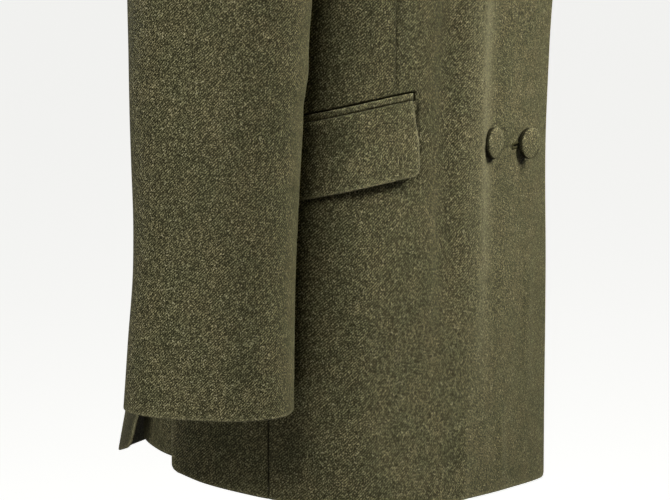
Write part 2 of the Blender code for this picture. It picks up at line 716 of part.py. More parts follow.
def make_button(name, spot, tilt, stand, shank):
    """A domed disc covered with the jacket's cloth. It stands off the cloth, on a shank that reaches this deep."""
    radius = BUTTON_DIAMETER / 2
    neck = SHANK_DIAMETER / 2
    profile = [(0, -shank), (neck, -shank), (neck, stand)]
    profile += [(radius * share, stand + height) for share, height in BUTTON_PROFILE]
    shape = bmesh.new()
    points = [shape.verts.new((across * MM, 0, up * MM)) for across, up in profile]
    for a, b in zip(points, points[1:]):
        shape.edges.new((a, b))
    mesh = bpy.data.meshes.new(name)
    shape.to_mesh(mesh)
    shape.free()
    button = add_object(name, mesh, WOOL_BUTTON)
    place, facing = on_right_front(*spot)
    facing.rotate(Euler((0, 0, math.radians(tilt))))
    button.location = place * MM
    button.rotation_euler = facing.to_track_quat('Z', 'Y').to_euler()
    turned = button.modifiers.new("turned_profile", 'SCREW')
    turned.steps = 32
    turned.render_steps = 32
    turned.use_merge_vertices = True
    turned.merge_threshold = 0.00005
    turned.use_normal_calculate = True


def make_buttonhole(front):
    """The slit in the right front that the fastened button's shank passes through."""
    x, height = BUTTON_FASTENED
    outer = on_right_front(x + BUTTONHOLE_WIDTH, height)[0]
    inner = on_right_front(x + BUTTONHOLE_WIDTH - BUTTONHOLE_LENGTH, height)[0]
    bpy.ops.mesh.primitive_cube_add(size=1.0, location=(inner + outer) / 2 * MM)
    cutter = bpy.context.active_object
    cutter.name = "buttonhole_cutter"
    cutter.dimensions = Vector(((outer - inner).length, BUTTONHOLE_CUT, BUTTONHOLE_WIDTH)) * MM
    cutter.rotation_euler.z = math.atan2(outer.y - inner.y, outer.x - inner.x)
    cutter.hide_render = True
    cutter.display_type = 'WIRE'
    for holder in list(cutter.users_collection):
        holder.objects.unlink(cutter)
    CUTTERS.objects.link(cutter)
    slit = front.modifiers.new("buttonhole", 'BOOLEAN')
    slit.operation = 'DIFFERENCE'
    slit.solver = 'EXACT'
    slit.object = cutter


def make_buttons():
    x, height = BUTTON_FASTENED
    under = right_front_point(angle_at(x, height), height) - left_front_point(angle_at(-x, height), height)
    make_button("button_fastened", BUTTON_FASTENED, BUTTON_TILT, FASTENED_STAND, -under.y - SEAM_GAP)
    make_button("button_show", BUTTON_SHOW, 0.0, SHOW_STAND, -SEAM_GAP)


# ---------------------------------------------------------------- build

for old in list(bpy.data.objects):
    bpy.data.objects.remove(old, do_unlink=True)

JACKET = bpy.data.collections.new("tailored_jacket")
CUTTERS = bpy.data.collections.new("cutters")
bpy.context.scene.collection.children.link(JACKET)
bpy.context.scene.collection.children.link(CUTTERS)

make_buttonhole(make_front("front_right", right_front_point, False))
make_front("front_left", left_front_point, True)
make_side_panels()
make_backs()
make_vent_underlaps()
make_sleeves()
make_pockets()
make_lapel("lapel_right", right_front_point, LAPEL_FIRST_SHARE, False)
make_lapel("lapel_left", left_front_point, HIDDEN_LAPEL_FIRST_SHARE, True)
make_collar()
make_buttons()
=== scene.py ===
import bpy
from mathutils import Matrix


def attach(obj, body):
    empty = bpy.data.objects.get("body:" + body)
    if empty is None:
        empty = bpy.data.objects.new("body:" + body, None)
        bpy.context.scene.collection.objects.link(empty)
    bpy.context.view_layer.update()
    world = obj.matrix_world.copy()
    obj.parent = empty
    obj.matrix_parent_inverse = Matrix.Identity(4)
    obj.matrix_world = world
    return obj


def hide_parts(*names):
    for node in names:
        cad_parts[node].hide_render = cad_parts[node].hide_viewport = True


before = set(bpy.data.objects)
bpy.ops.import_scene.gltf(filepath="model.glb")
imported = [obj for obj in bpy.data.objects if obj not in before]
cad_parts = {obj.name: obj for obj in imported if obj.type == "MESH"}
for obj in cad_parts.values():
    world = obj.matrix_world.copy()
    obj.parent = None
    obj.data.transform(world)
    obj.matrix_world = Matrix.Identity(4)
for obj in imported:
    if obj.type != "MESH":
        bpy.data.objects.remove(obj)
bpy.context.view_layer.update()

import math

import bpy
import numpy as np
from mathutils import Matrix, Vector

# A double-breasted tailored jacket in olive wool twill, filled out as when it is worn. +Z is up, the front
# faces -Y and the wearer's left is +X. Sizes are in millimetres until a mesh is made.


# ================================================================ the right front
# One piece of heavy wool twill from the side seam to the front edge, which laps over the left front. It is
# cut with a long dart above the pocket, pressed flat along its edges and open at the buttonhole.

CLOTH = 2.0                         # thickness of the twill
HEM_HEIGHT = -772.0
SHOULDER_HEIGHT = -48.0
NECK_HEIGHT = -8.0
EDGE_X = 61.0
BREAK_HEIGHT = -352.0
ROLL_TOP_X = -82.0
LAP_STAND = 15.0
LAP_ANGLES = (-60.0, 26.0)
LAP_FADE = (-235.0, -60.0)
TUCK_ANGLES = (-30.0, 10.0)
TUCK = 4.0
LEFT_CORNER_RISE = 12.0
FRONT_SEAM_ANGLE = 84.6
VENT_LENGTH = 215.0
ARMHOLE_DEPTH = 20.0
ARMHOLE_BOTTOM = -236.0
SEAM_PRESS = 14.0                   # how far the cloth is pressed flat beside an armhole or a sleeve seam
ARMHOLE_EASE = 0.65                 # how much shallower the armhole seam is than the others
ARMHOLE_PASSAGE = 8.0               # the height over which a side seam becomes the armhole
CORNER_RADIUS = 7.0                 # of the hem's corners
DART_ANGLE = -55.5
DART_HEIGHTS = (-431.0, -250.0)
DART_RUN_OUT = (12.0, 60.0)         # over how much of its length each end fades
DART_LINE = (0.8, 0.9)              # depth and half width of the sharp line
DART_HOLLOW = (0.5, 5.0)            # and of the soft hollow round it
# How much painted shade lies in the dart's dip, as a share of its depth
DART_PAINTED_SHADE = 0.35
POCKET_ANGLES = (50.0, 93.0)        # from its front end to its back end
POCKET_HEIGHT = -434.0
POCKET_SLANT = 25.5
POCKET_LEVEL = 0.2
WELT_WIDTH = 5.5
WELT_SINK = 1.9                     # the pocket's mouth, pressed in under the welt
GROOVE_TOP = (-1.7, -0.4)           # where the groove round the welt begins above it
GROOVE_LOW = (0.4, 1.9)             # and ends below it
GROOVE_END = (-0.1, 0.35)           # and at its front end, in degrees
FLAP_DEPTH = 60.0
FLAP_LINE = (1.2, 1.6)              # how far beside the flap's edge the painted shadow lies, and how wide
FLAP_SHADOW_DARKNESS = (0.85, 0.6)             # how dark that painted shadow is at its top, and how much of it is lost lower down
FLAP_SHADOW_START = (-0.02, 0.05)     # from one to the other share of the flap's depth the line sets in,
FLAP_SHADOW_FADE = (0.1, 0.6)         # fades
FLAP_SHADOW_END = (0.8, 0.97)         # and ends
BUTTONHOLE_X = (-15.5, 11.5)
BUTTONHOLE_HEIGHT = -491.0
BUTTONHOLE_HALF = 0.9               # half of its opening
MM_PER_DEGREE = 3.2                 # round the body, for the folds
SHOULDER_CALM = 0.7                 # the share of the folds that is lost over the shoulders
SHOULDER_CALM_HEIGHTS = (-120.0, -48.0)

TORSO = (
    # height, half_width, front_depth, back_depth, squareness
    (-800.0, 204.0, 150.0, 141.0, 2.30),
    (-690.0, 204.0, 150.0, 139.0, 2.30),
    (-600.0, 203.0, 150.0, 136.0, 2.30),
    (-500.0, 202.0, 149.0, 131.0, 2.30),
    (-420.0, 201.0, 151.0, 127.0, 2.28),
    (-330.0, 202.0, 157.0, 129.0, 2.25),
    (-260.0, 205.0, 159.5, 134.0, 2.25),
    (-200.0, 209.0, 154.0, 136.0, 2.20),
    (-140.0, 211.0, 136.0, 129.0, 2.10),
    (-90.0, 210.0, 108.0, 113.0, 2.00),
    (-60.0, 207.0, 84.0, 96.0, 2.00),
    (-48.0, 204.0, 74.0, 87.0, 2.00),
    (-36.0, 168.0, 64.0, 78.0, 2.00),
    (-22.0, 126.0, 57.0, 69.0, 2.00),
    (-8.0, 84.0, 51.0, 61.0, 2.00),
    (0.0, 76.0, 49.0, 58.0, 2.00),
)
HEM_LINE = (
    # angle, shift
    (-180.0, 30.0),
    (-111.0, 30.0),
    (-100.0, 25.5),
    (-60.0, 9.0),
    (-20.0, 0.0),
    (25.0, -12.0),
)
# Soft folds, a ridge where depth is above 0 and a trough where it is below. Side -1 is the wearer's right.
BODY_FOLDS = (
    # side, angle, height, half_length, half_width, depth, lean
    (-1, -28.0, -455.0, 290.0, 19.0, 4.4, 0.0),
    (-1, -28.0, -440.0, 260.0, 6.5, 1.7, 0.0),
    (-1, -39.5, -440.0, 300.0, 17.0, -6.0, 1.0),
    (-1, -17.0, -390.0, 120.0, 20.0, -1.2, 3.0),
    (-1, -49.0, -680.0, 95.0, 26.0, -2.8, 4.0),
    (-1, -65.5, -575.0, 120.0, 20.0, 2.2, -2.0),
    (-1, -33.0, -738.0, 66.0, 9.0, 1.7, 5.0),
    (-1, -13.0, -735.0, 46.0, 8.0, 1.2, -3.0),
    (-1, -63.0, -722.0, 70.0, 11.0, 1.7, 2.0),
    (-1, -41.0, -560.0, 90.0, 15.0, -1.3, -7.0),
    (-1, -79.0, -610.0, 150.0, 14.0, -1.5, 1.0),
    (-1, -62.0, -330.0, 75.0, 12.0, -1.8, 24.0),
    (-1, -70.0, -255.0, 60.0, 10.0, 1.9, 32.0),
    (-1, -30.0, -300.0, 80.0, 16.0, 1.5, -16.0),
    (-1, 6.0, -640.0, 90.0, 12.0, 0.9, 2.0),
    (1, -40.0, -520.0, 130.0, 15.0, 1.8, 4.0),
    (1, -58.0, -650.0, 100.0, 22.0, -2.6, -3.0),
    (1, -70.0, -560.0, 110.0, 16.0, 2.0, 2.0),
    (1, -50.0, -725.0, 70.0, 10.0, 1.6, -5.0),
    (1, -62.0, -320.0, 80.0, 13.0, -1.7, 22.0),
    (1, -71.0, -262.0, 56.0, 9.0, 1.6, 34.0),
    (0, -92.0, -640.0, 110.0, 13.0, 1.6, -2.0),
    (0, -101.0, -560.0, 120.0, 12.0, -1.4, 3.0),
    (-1, -120.0, -470.0, 110.0, 18.0, -2.6, 6.0),
    (-1, -133.0, -360.0, 120.0, 20.0, 2.4, -8.0),
    (-1, -146.0, -640.0, 120.0, 15.0, 1.8, 3.0),
    (-1, -160.0, -540.0, 130.0, 13.0, -2.2, -2.0),
    (-1, -128.0, -215.0, 70.0, 13.0, -2.2, 34.0),
    (-1, -151.0, -140.0, 60.0, 24.0, 1.8, 70.0),
    (1, -118.0, -455.0, 100.0, 17.0, -2.4, 4.0),
    (1, -136.0, -375.0, 130.0, 18.0, 2.1, -5.0),
    (1, -143.0, -660.0, 105.0, 16.0, 1.9, -4.0),
    (1, -163.0, -520.0, 120.0, 12.0, -1.9, 3.0),
    (1, -126.0, -230.0, 75.0, 12.0, -2.4, 30.0),
    (1, -154.0, -150.0, 64.0, 22.0, 1.5, 74.0),
)
# Painted highlight on the front's ridges and painted shade in its troughs, as shares of the full mark
FRONT_PAINTED_SHADING = (
    # side, place, height, half_length, half_width, depth, lean
    (0, -26.0, -440.0, 360.0, 19.0, 0.75, 0.0),
    (0, -42.0, -380.0, 340.0, 19.0, -0.22, 1.0),
    (0, -8.0, -560.0, 260.0, 22.0, 0.08, 0.0),
)
# The slight unevenness of cloth that has been pressed and worn: waves as long as this round and up the body
CLOTH_WAVES = (
    # round, up, phase, height
    (34.0, 61.0, 0.3, 0.16),
    (-47.0, 38.0, 1.9, 0.16),
    (23.0, -95.0, 4.1, 0.12),
    (19.0, 27.0, 2.6, 0.08),
    (-90.0, 140.0, 5.2, 0.30),
)

FINE_STEPS = (0.0, 0.35, 0.8, 1.4, 2.2, 3.4)    # of the grid beside an edge or a seam
FIRST_ANGLE = -60.0                 # where the search for a grid's angles starts
SEARCH_ROUNDS = 8
HALVINGS = 30
# Cells between a front's pinned lines, and the scale of the fine steps there
FRONT_COLUMNS = ((24, 1.0), (2, 1.0), (60, 1.0))
FRONT_ROWS = ((60, 1.0), (5, 1.0), (1, 0.6), (124, 1.0))
# The lines pinned to the dart and to the welt's end leave them here for even shares of the front
LEAVE_HEIGHTS = (-330.0, -190.0)
DART_LINE_SHARE = 0.3
WELT_LINE_SHARE = 0.5
WELT_LINE_MARGIN = 0.7


def read_table(table, position):
    """The columns of a table between its rows, along curves that never overshoot them."""
    rows = np.array(sorted(table))
    knots = rows[:, 0]
    values = rows[:, 1:]
    steps = np.diff(values, axis=0) / np.diff(knots)[:, None]
    turns = steps[:-1] * steps[1:] <= 0
    inner = np.where(turns, 0.0, 2 * steps[:-1] * steps[1:] / np.where(turns, 1.0, steps[:-1] + steps[1:]))
    slope = np.vstack([steps[:1], inner, steps[-1:]])
    position = np.clip(position, knots[0], knots[-1])
    i = np.clip(np.searchsorted(knots, position, side="right") - 1, 0, len(knots) - 2)
    width = (knots[i + 1] - knots[i])[..., None]
    t = (position - knots[i])[..., None] / width
    result = values[i] * (1 + 2 * t) * (1 - t) ** 2 + values[i + 1] * t * t * (3 - 2 * t)
    result += width * (slope[i] * t * (1 - t) ** 2 + slope[i + 1] * t * t * (t - 1))
    return np.moveaxis(result, -1, 0)


def ease(value, low, high):
    """0 below low, 1 above high and a smooth passage between them."""
    t = np.clip((value - low) / (high - low), 0.0, 1.0)
    return t * t * (3 - 2 * t)


def near_hem(height):
    """1 at the hem and 0 from the top of the vents upwards."""
    return 1 - ease(height, HEM_HEIGHT, HEM_HEIGHT + VENT_LENGTH)


def form_point(angle, height):
    """The body's inner face. Angle 0 is the centre front, -90 the side. The left is made by mirroring."""
    angle, height = np.broadcast_arrays(angle, height)
    half_width, front_depth, back_depth, squareness = read_table(TORSO, height)
    across = np.sin(np.radians(angle))
    forward = np.cos(np.radians(angle))
    depth = np.where(forward > 0, front_depth, back_depth)
    reach = (abs(across) / half_width) ** squareness + (abs(forward) / depth) ** squareness
    radius = reach ** (-1 / squareness)
    shift = read_table(HEM_LINE, angle)[0] * near_hem(height)
    return np.stack([radius * across, -radius * forward, height + shift], -1)


def unit(vectors):
    """The same directions with a length of 1."""
    return vectors / np.maximum(np.linalg.norm(vectors, axis=-1, keepdims=True), 1e-9)


def body_point(angle, height, out=0.0):
    """A point of the body, moved straight out of its surface by a distance."""
    step_round = form_point(angle + 0.5, height) - form_point(angle - 0.5, height)
    step_up = form_point(angle, height + 1.0) - form_point(angle, height - 1.0)
    return form_point(angle, height) + unit(np.cross(step_round, step_up)) * np.asarray(out)[..., None]


def angle_at(x, height, behind=False):
    """The angle at which the body's section reaches a sideways position x."""
    half_width, front_depth, back_depth, squareness = read_table(TORSO, height)
    share = np.minimum(abs(x) / half_width, 1.0)
    forward = (back_depth if behind else front_depth) * (1 - share ** squareness) ** (1 / squareness)
    return np.copysign(np.degrees(np.arctan2(abs(x), -forward if behind else forward)), x)


def armhole_angle(height, behind=False):
    """The angle of the armhole's front or back edge at a height."""
    share = np.clip((height - ARMHOLE_BOTTOM) / (SHOULDER_HEIGHT - ARMHOLE_BOTTOM), 0.0, 1.0)
    x = read_table(TORSO, height)[0] - ARMHOLE_DEPTH * 4 * share * (1 - share)
    return angle_at(x, height, behind)


def armhole_floor(angle):
    """Height of the armhole's lower edge at an angle near the side of the body."""
    low = np.full(np.shape(angle), ARMHOLE_BOTTOM)
    high = low + (SHOULDER_HEIGHT - ARMHOLE_BOTTOM) / 2
    for _ in range(HALVINGS):
        middle = (low + high) / 2
        edge = np.where(angle > 90.0, armhole_angle(middle, True), armhole_angle(middle))
        inside = abs(edge - 90.0) < abs(angle - 90.0)
        low = np.where(inside, middle, low)
        high = np.where(inside, high, middle)
    return low


def roll_x(height):
    """Sideways position of the right front's edge: the front edge, then the fold of the lapel."""
    share = np.clip((height - BREAK_HEIGHT) / (NECK_HEIGHT - BREAK_HEIGHT), 0.0, 1.0)
    return EDGE_X + (ROLL_TOP_X - EDGE_X) * share


def front_side_angle(height):
    """Where a front ends at the side: seam, armhole, then shoulder seam."""
    at_armhole = np.where(height > armhole_floor(FRONT_SEAM_ANGLE), armhole_angle(height), FRONT_SEAM_ANGLE)
    return -np.where(height >= SHOULDER_HEIGHT, 90.0, at_armhole)


def front_point(side, angle, height, out=0.0):
    """A front: the right one stands off the form towards its edge, the left one lies deeper under it."""
    fade = 1 - ease(height, *LAP_FADE)
    if side < 0:
        share = np.clip((angle - LAP_ANGLES[0]) / (LAP_ANGLES[1] - LAP_ANGLES[0]), 0.0, 1.0)
        return body_point(angle, height, out + LAP_STAND * share * share * fade)
    under = ease(angle, *TUCK_ANGLES) * fade
    rise = LEFT_CORNER_RISE * under * near_hem(height)
    return body_point(angle, height, out - TUCK * under) + rise[..., None] * np.array([0, 0, 1])


def soft_folds(table, side, round_mm, up_mm, mm_per_column=1.0, waves=CLOTH_WAVES):
    """The folds of one side, out of the surface, and the slight unevenness of the cloth between them. With
    a table of shares it gives painted highlight, above 0, and painted shade, below 0, on the cloth."""
    lift = np.zeros(np.broadcast(round_mm, up_mm).shape)
    for fold_side, at_round, at_up, half_length, half_width, depth, lean in table:
        if fold_side in (side, 0):
            across = round_mm - at_round * mm_per_column
            along = up_mm - at_up
            turn = math.radians(lean)
            over = across * math.cos(turn) - along * math.sin(turn)
            down = along * math.cos(turn) + across * math.sin(turn)
            fade = np.clip(1 - (down / half_length) ** 2, 0.0, 1.0) ** 2
            lift += depth * fade * bell(over, half_width)
    for length_round, length_up, phase, height in waves:
        lift += height * np.sin(round_mm / length_round + up_mm / length_up + phase + side)
    return lift


# The way up the body in millimetres of cloth, because over the shoulder it hardly rises
WAY_ANGLE = -78.0                   # where it is measured
WAY_BELOW_HEM = 8.0
WAY_HEIGHTS = np.linspace(HEM_HEIGHT - WAY_BELOW_HEM, 0.0, 1561)
WAY_STEPS = np.linalg.norm(np.diff(form_point(WAY_ANGLE, WAY_HEIGHTS), axis=0), axis=1)
WAY = np.concatenate([[0.0], np.cumsum(WAY_STEPS)])


def way_up(height):
    """Millimetres of cloth from just below the hem up to a height."""
    return np.interp(height, WAY_HEIGHTS, WAY)


def height_at(way):
    """The height that lies so many millimetres of cloth up."""
    return np.interp(way, WAY, WAY_HEIGHTS)


def rule_lines(*segments):
    """Where the lines of a grid lie between its pinned lines: fine beside each of these, even elsewhere.
    A segment is (cells, scale of its fine steps). Each line has a segment, a fixed step and a share."""
    lines = []
    for number, (cells, scale) in enumerate(segments):
        fine = [step * scale for step in FINE_STEPS]
        reach = fine[-1]
        lines += [(number, step, 0.0, reach) for step in fine[:-1]]
        lines += [(number, reach, k / cells, reach) for k in range(cells + 1)]
        lines += [(number, 2 * reach - step, 1.0, reach) for step in reversed(fine[1:-1])]
    lines.append((len(segments) - 1, 2 * reach, 1.0, reach))
    return np.array(lines).T


def place_lines(lines, pins, scale, axis):
    """The places of a grid's lines between pinned places that may differ from point to point."""
    shape = [1, 1]
    shape[axis] = -1
    number, step, share, reach = (row.reshape(shape) for row in lines)
    pins = np.stack(np.broadcast_arrays(*pins))
    number = np.broadcast_to(number.astype(int), pins.shape[1:])[None]
    low = np.take_along_axis(pins, number, 0)[0]
    high = np.take_along_axis(pins, number + 1, 0)[0]
    return low + step * scale + share * (high - low - 2 * reach * scale)


def lay_panel(column_lines, row_lines, column_pins, row_pins):
    """Angles and heights of a body panel's points, and how far each is from the panel's four edges."""
    shape = (row_lines.shape[1], column_lines.shape[1])
    angle = np.full(shape, FIRST_ANGLE)
    rows = row_pins(angle)
    way = np.broadcast_to(np.linspace(np.mean(rows[0]), np.mean(rows[-1]), shape[0])[:, None], shape)
    for _ in range(SEARCH_ROUNDS):
        height = height_at(way)
        one_degree = form_point(angle + 0.5, height) - form_point(angle - 0.5, height)
        degrees = 1 / np.linalg.norm(one_degree, axis=-1)
        columns = [np.broadcast_to(pin, shape) for pin in column_pins(height)]
        angle = place_lines(column_lines, columns, degrees, 1)
        rows = [np.broadcast_to(pin, shape) for pin in row_pins(angle)]
        way = place_lines(row_lines, rows, 1.0, 0)
    edges = {
        "low": way - rows[0],
        "high": rows[-1] - way,
        "start": (angle - columns[0]) / degrees,
        "end": (columns[-1] - angle) / degrees,
    }
    return angle, height_at(way), edges


def rounding(distance, radius):
    """How full the cloth is beside an edge that rounds off: 0 at the edge, 1 from the radius inwards."""
    return np.sqrt(1 - (1 - np.clip(distance / radius, 0.0, 1.0)) ** 2)


FOLDED = (1.3, 1.3)         # radius of a pressed edge outside and inside
SEAM = (2.0, 0.4)           # a seam rolls in on the outside only
SEAM_SINK = (0.45, 2.4)     # depth and width of the dip beside a seam
SEAM_SWELL = (0.22, 9.0, 4.5)       # height, place and width of the low swell over its pressed allowance
FOLD_RUB = 2.2              # how far in a pressed edge is rubbed pale
SEAM_SHADE = (0.55, 0.9)     # how dark the painted shade in a seam is, and how far from it


def bell(distance, width):
    """1 at no distance, and less and less beyond the width."""
    return np.exp(-(distance / width) ** 2)


def seam_dip(distance):
    """How the cloth sinks beside a seam and swells over the pressed allowance."""
    depth, width = SEAM_SINK
    swell, place, spread = SEAM_SWELL
    return -depth * bell(distance, width) + swell * bell(distance - place, spread)


def finish_edges(edges, kinds):
    """How full both faces are beside the edges, how the cloth dips there, and its wear and painted shade:
    rubbed paler on a fold, above 0, and darker with painted shade in a seam, below 0. A kind is a share from
    a fold, 0, to a seam, 1."""
    outside = inside = 1.0
    dip = wear_and_painted_shading = 0.0
    for name, distance in edges.items():
        seam = kinds[name]
        outside = outside * rounding(distance, FOLDED[0] + (SEAM[0] - FOLDED[0]) * seam)
        inside = inside * rounding(distance, FOLDED[1] + (SEAM[1] - FOLDED[1]) * seam)
        dip = dip + seam * seam_dip(distance)
        wear_and_painted_shading = wear_and_painted_shading + (1 - seam) * bell(distance, FOLD_RUB)
        wear_and_painted_shading = wear_and_painted_shading - seam * SEAM_SHADE[0] * bell(distance, SEAM_SHADE[1])
    return outside, inside, dip, wear_and_painted_shading


def surface_normals(grid):
    """Directions straight out of a grid whose rows run to the right as seen from outside and go up."""
    return unit(np.cross(np.gradient(grid, axis=1), np.gradient(grid, axis=0)))


def mesh_cloth(name, grid, finish, lift, mirror, hole=None, marks=0.0):
    """A wall of cloth on a grid of points of its inner face. Rows run to the right as seen from outside
    and go up. Both faces meet at the edges. A map in metres along the cloth is kept for the weave, and
    the cloth's wear and painted shading with it. Marks are added to that: paler above 0, rub and painted
    highlight, darker below 0, painted shade."""
    outside, inside, dip, wear_and_painted_shading = finish
    wear_and_painted_shading = np.clip(np.broadcast_to(wear_and_painted_shading + marks, grid.shape[:2]), -1.0, 1.0)
    normals = surface_normals(grid)
    middle = lift + dip + CLOTH / 2
    outer = grid + normals * (middle + outside * CLOTH / 2)[..., None]
    inner = grid + normals * (middle - inside * CLOTH / 2)[..., None]
    if mirror:
        outer, inner = (face[:, ::-1] * np.array([-1, 1, 1]) for face in (outer, inner))
        wear_and_painted_shading = wear_and_painted_shading[:, ::-1]
    rows, columns = outer.shape[:2]
    number = np.arange(rows * columns).reshape(rows, columns)
    inner_number = number + rows * columns
    for edge in (np.s_[0, :], np.s_[-1, :], np.s_[:, 0], np.s_[:, -1]):
        inner_number[edge] = number[edge]
    keep = np.ones((rows - 1, columns - 1), bool)
    if hole is not None:
        keep &= ~(hole[:, ::-1] if mirror else hole)

    def quads(of, order):
        corners = (of[:-1, :-1], of[:-1, 1:], of[1:, 1:], of[1:, :-1])
        return np.stack([corners[k] for k in order], -1)[keep]

    faces = [quads(number, (0, 1, 2, 3)), quads(inner_number, (3, 2, 1, 0))]
    if hole is not None:
        faces += hole_rim(keep, number, inner_number)
    faces = np.concatenate(faces)
    points = np.concatenate([outer.reshape(-1, 3), inner.reshape(-1, 3)]) / 1000
    along = np.cumsum(np.linalg.norm(np.diff(outer, axis=1, prepend=outer[:, :1]), axis=-1), axis=1)
    along -= along[:, columns // 2][:, None]
    up = np.cumsum(np.linalg.norm(np.diff(outer, axis=0, prepend=outer[:1]), axis=-1), axis=0)
    weave = np.tile(np.stack([along, up], -1).reshape(-1, 2), (2, 1)) / 1000
    used = np.unique(faces)
    renumber = np.zeros(len(points), int)
    renumber[used] = np.arange(len(used))
    faces = renumber[faces]
    mesh = bpy.data.meshes.new(name)
    mesh.from_pydata(points[used].tolist(), [], faces.tolist())
    uv_map = mesh.uv_layers.new(name=WEAVE_MAP)
    uv_map.data.foreach_set("uv", weave[used][faces.ravel()].astype(np.float32).ravel())
    marked = mesh.attributes.new(WEAR_AND_PAINTED_SHADING, 'FLOAT', 'POINT')
    marked.data.foreach_set("value", np.tile(wear_and_painted_shading.ravel(), 2)[used].astype(np.float32))
    mesh.shade_smooth()
    piece = bpy.data.objects.new(name, mesh)
    bpy.context.scene.collection.objects.link(piece)
    return piece


def hole_rim(keep, outer, inner):
    """The faces that join both faces of the cloth round a hole cut in it."""
    rims = []
    for row, column in zip(*np.nonzero(~keep)):
        for step_row, step_column, a, b in (
            (-1, 0, (row, column), (row, column + 1)),
            (0, 1, (row, column + 1), (row + 1, column + 1)),
            (1, 0, (row + 1, column + 1), (row + 1, column)),
            (0, -1, (row + 1, column), (row, column)),
        ):
            if keep[row + step_row, column + step_column]:
                rims.append([outer[b], outer[a], inner[a], inner[b]][::-1])
    return [np.array(rims)]


WEAVE_MAP = "weave"
# The attribute of wear and painted light and shade: above 0 rub and painted highlight, below 0 painted shade
WEAR_AND_PAINTED_SHADING = "wear_and_painted_shading"

# Wool twill, piece-dyed and milled: two-up, two-down, its ribs rising to the right. Single yarns of dark,
# mid and light fibres give it a flecked look, the short nap a soft sheen, rubbed edges show paler, and
# painted highlight and painted shade lie in its colour too.
END_SPACING = 0.62          # mm from one warp yarn to the next, about twice the real one so that it shows
WANDER_SIZE = 18.0          # mm, the slow waves of the ribs
FLECK_SIZE = 0.58           # mm, a cluster of light or dark fibres
NEP_SIZE = 0.8              # mm, the cells in which a pale nep may lie
NEP_SHARE = 0.03            # of the cells that have one
NEP_STRENGTH = 0.6
CLOUD_SIZE = 26.0           # mm, where the dye took a little more or less
CLOUD_LIGHT = (0.93, 1.07)
FIBRE_SIZE = 0.7            # mm, of the fibres that stand up
FLECK_PART = 0.58           # of a spot's shade comes from its fibres, and the next from its float of yarn
FLOAT_PART = 0.42
RIB_PART = 0.16             # how much a rib is lighter than that, and the groove beside it darker
DARK_SHADE = 0.14           # the shades at which the cloth has the next three colours
MID_SHADE = 0.55
LIGHT_SHADE = 0.95
WOOL_DARK = "#15140b"
WOOL_MID = "#302e1e"
WOOL_LIGHT = "#7f7a5a"
WOOL_NEP = "#9a9476"
WOOL_BROWNER = "#fffcf9"           # how the dye varies: the colour is multiplied by these
WOOL_GREENER = "#f9fdf9"
# The pale colour of rubbed cloth and of painted highlight
WOOL_PALED = "#837e60"
WOOL_SHEEN = "#c9c19a"
WOOL_GLOSS = "#f4edb8"
WOOL_ROUGHNESS = (0.52, 0.66)      # from dark to light fibres
WOOL_IOR = 1.5
WOOL_SPECULAR = 0.24
SHEEN_WEIGHT = 0.03
SHEEN_ROUGHNESS = 0.4
FIBRE_RELIEF = 0.8                 # as a share of the yarns' own
RELIEF_STRENGTH = 0.55
RELIEF_HEIGHT = 0.00035            # m
PALING_STRENGTH = 0.6                 # the most that rubbing and painted highlight pale the light fibres
PAINTED_SHADE_LIGHT = 0.06                  # what is left of the colour in the deepest painted shade


def linear(hex_colour):
    """An sRGB hex colour as linear values with alpha."""
    shares = [int(hex_colour[k:k + 2], 16) / 255 for k in (1, 3, 5)]
    return (*(s / 12.92 if s <= 0.04045 else ((s + 0.055) / 1.055) ** 2.4 for s in shares), 1.0)


def add_node(tree, kind, settings, inputs, output=0):
    """Adds a node with its settings, and links or sets its inputs. Returns one of its outputs."""
    made = tree.nodes.new("ShaderNode" + kind)
    for name, value in settings.items():
        setattr(made, name, value)
    for name, value in inputs.items():
        if isinstance(value, bpy.types.NodeSocket):
            tree.links.new(value, made.inputs[name])
        else:
            made.inputs[name].default_value = value
    return made.outputs[output] if made.outputs else made


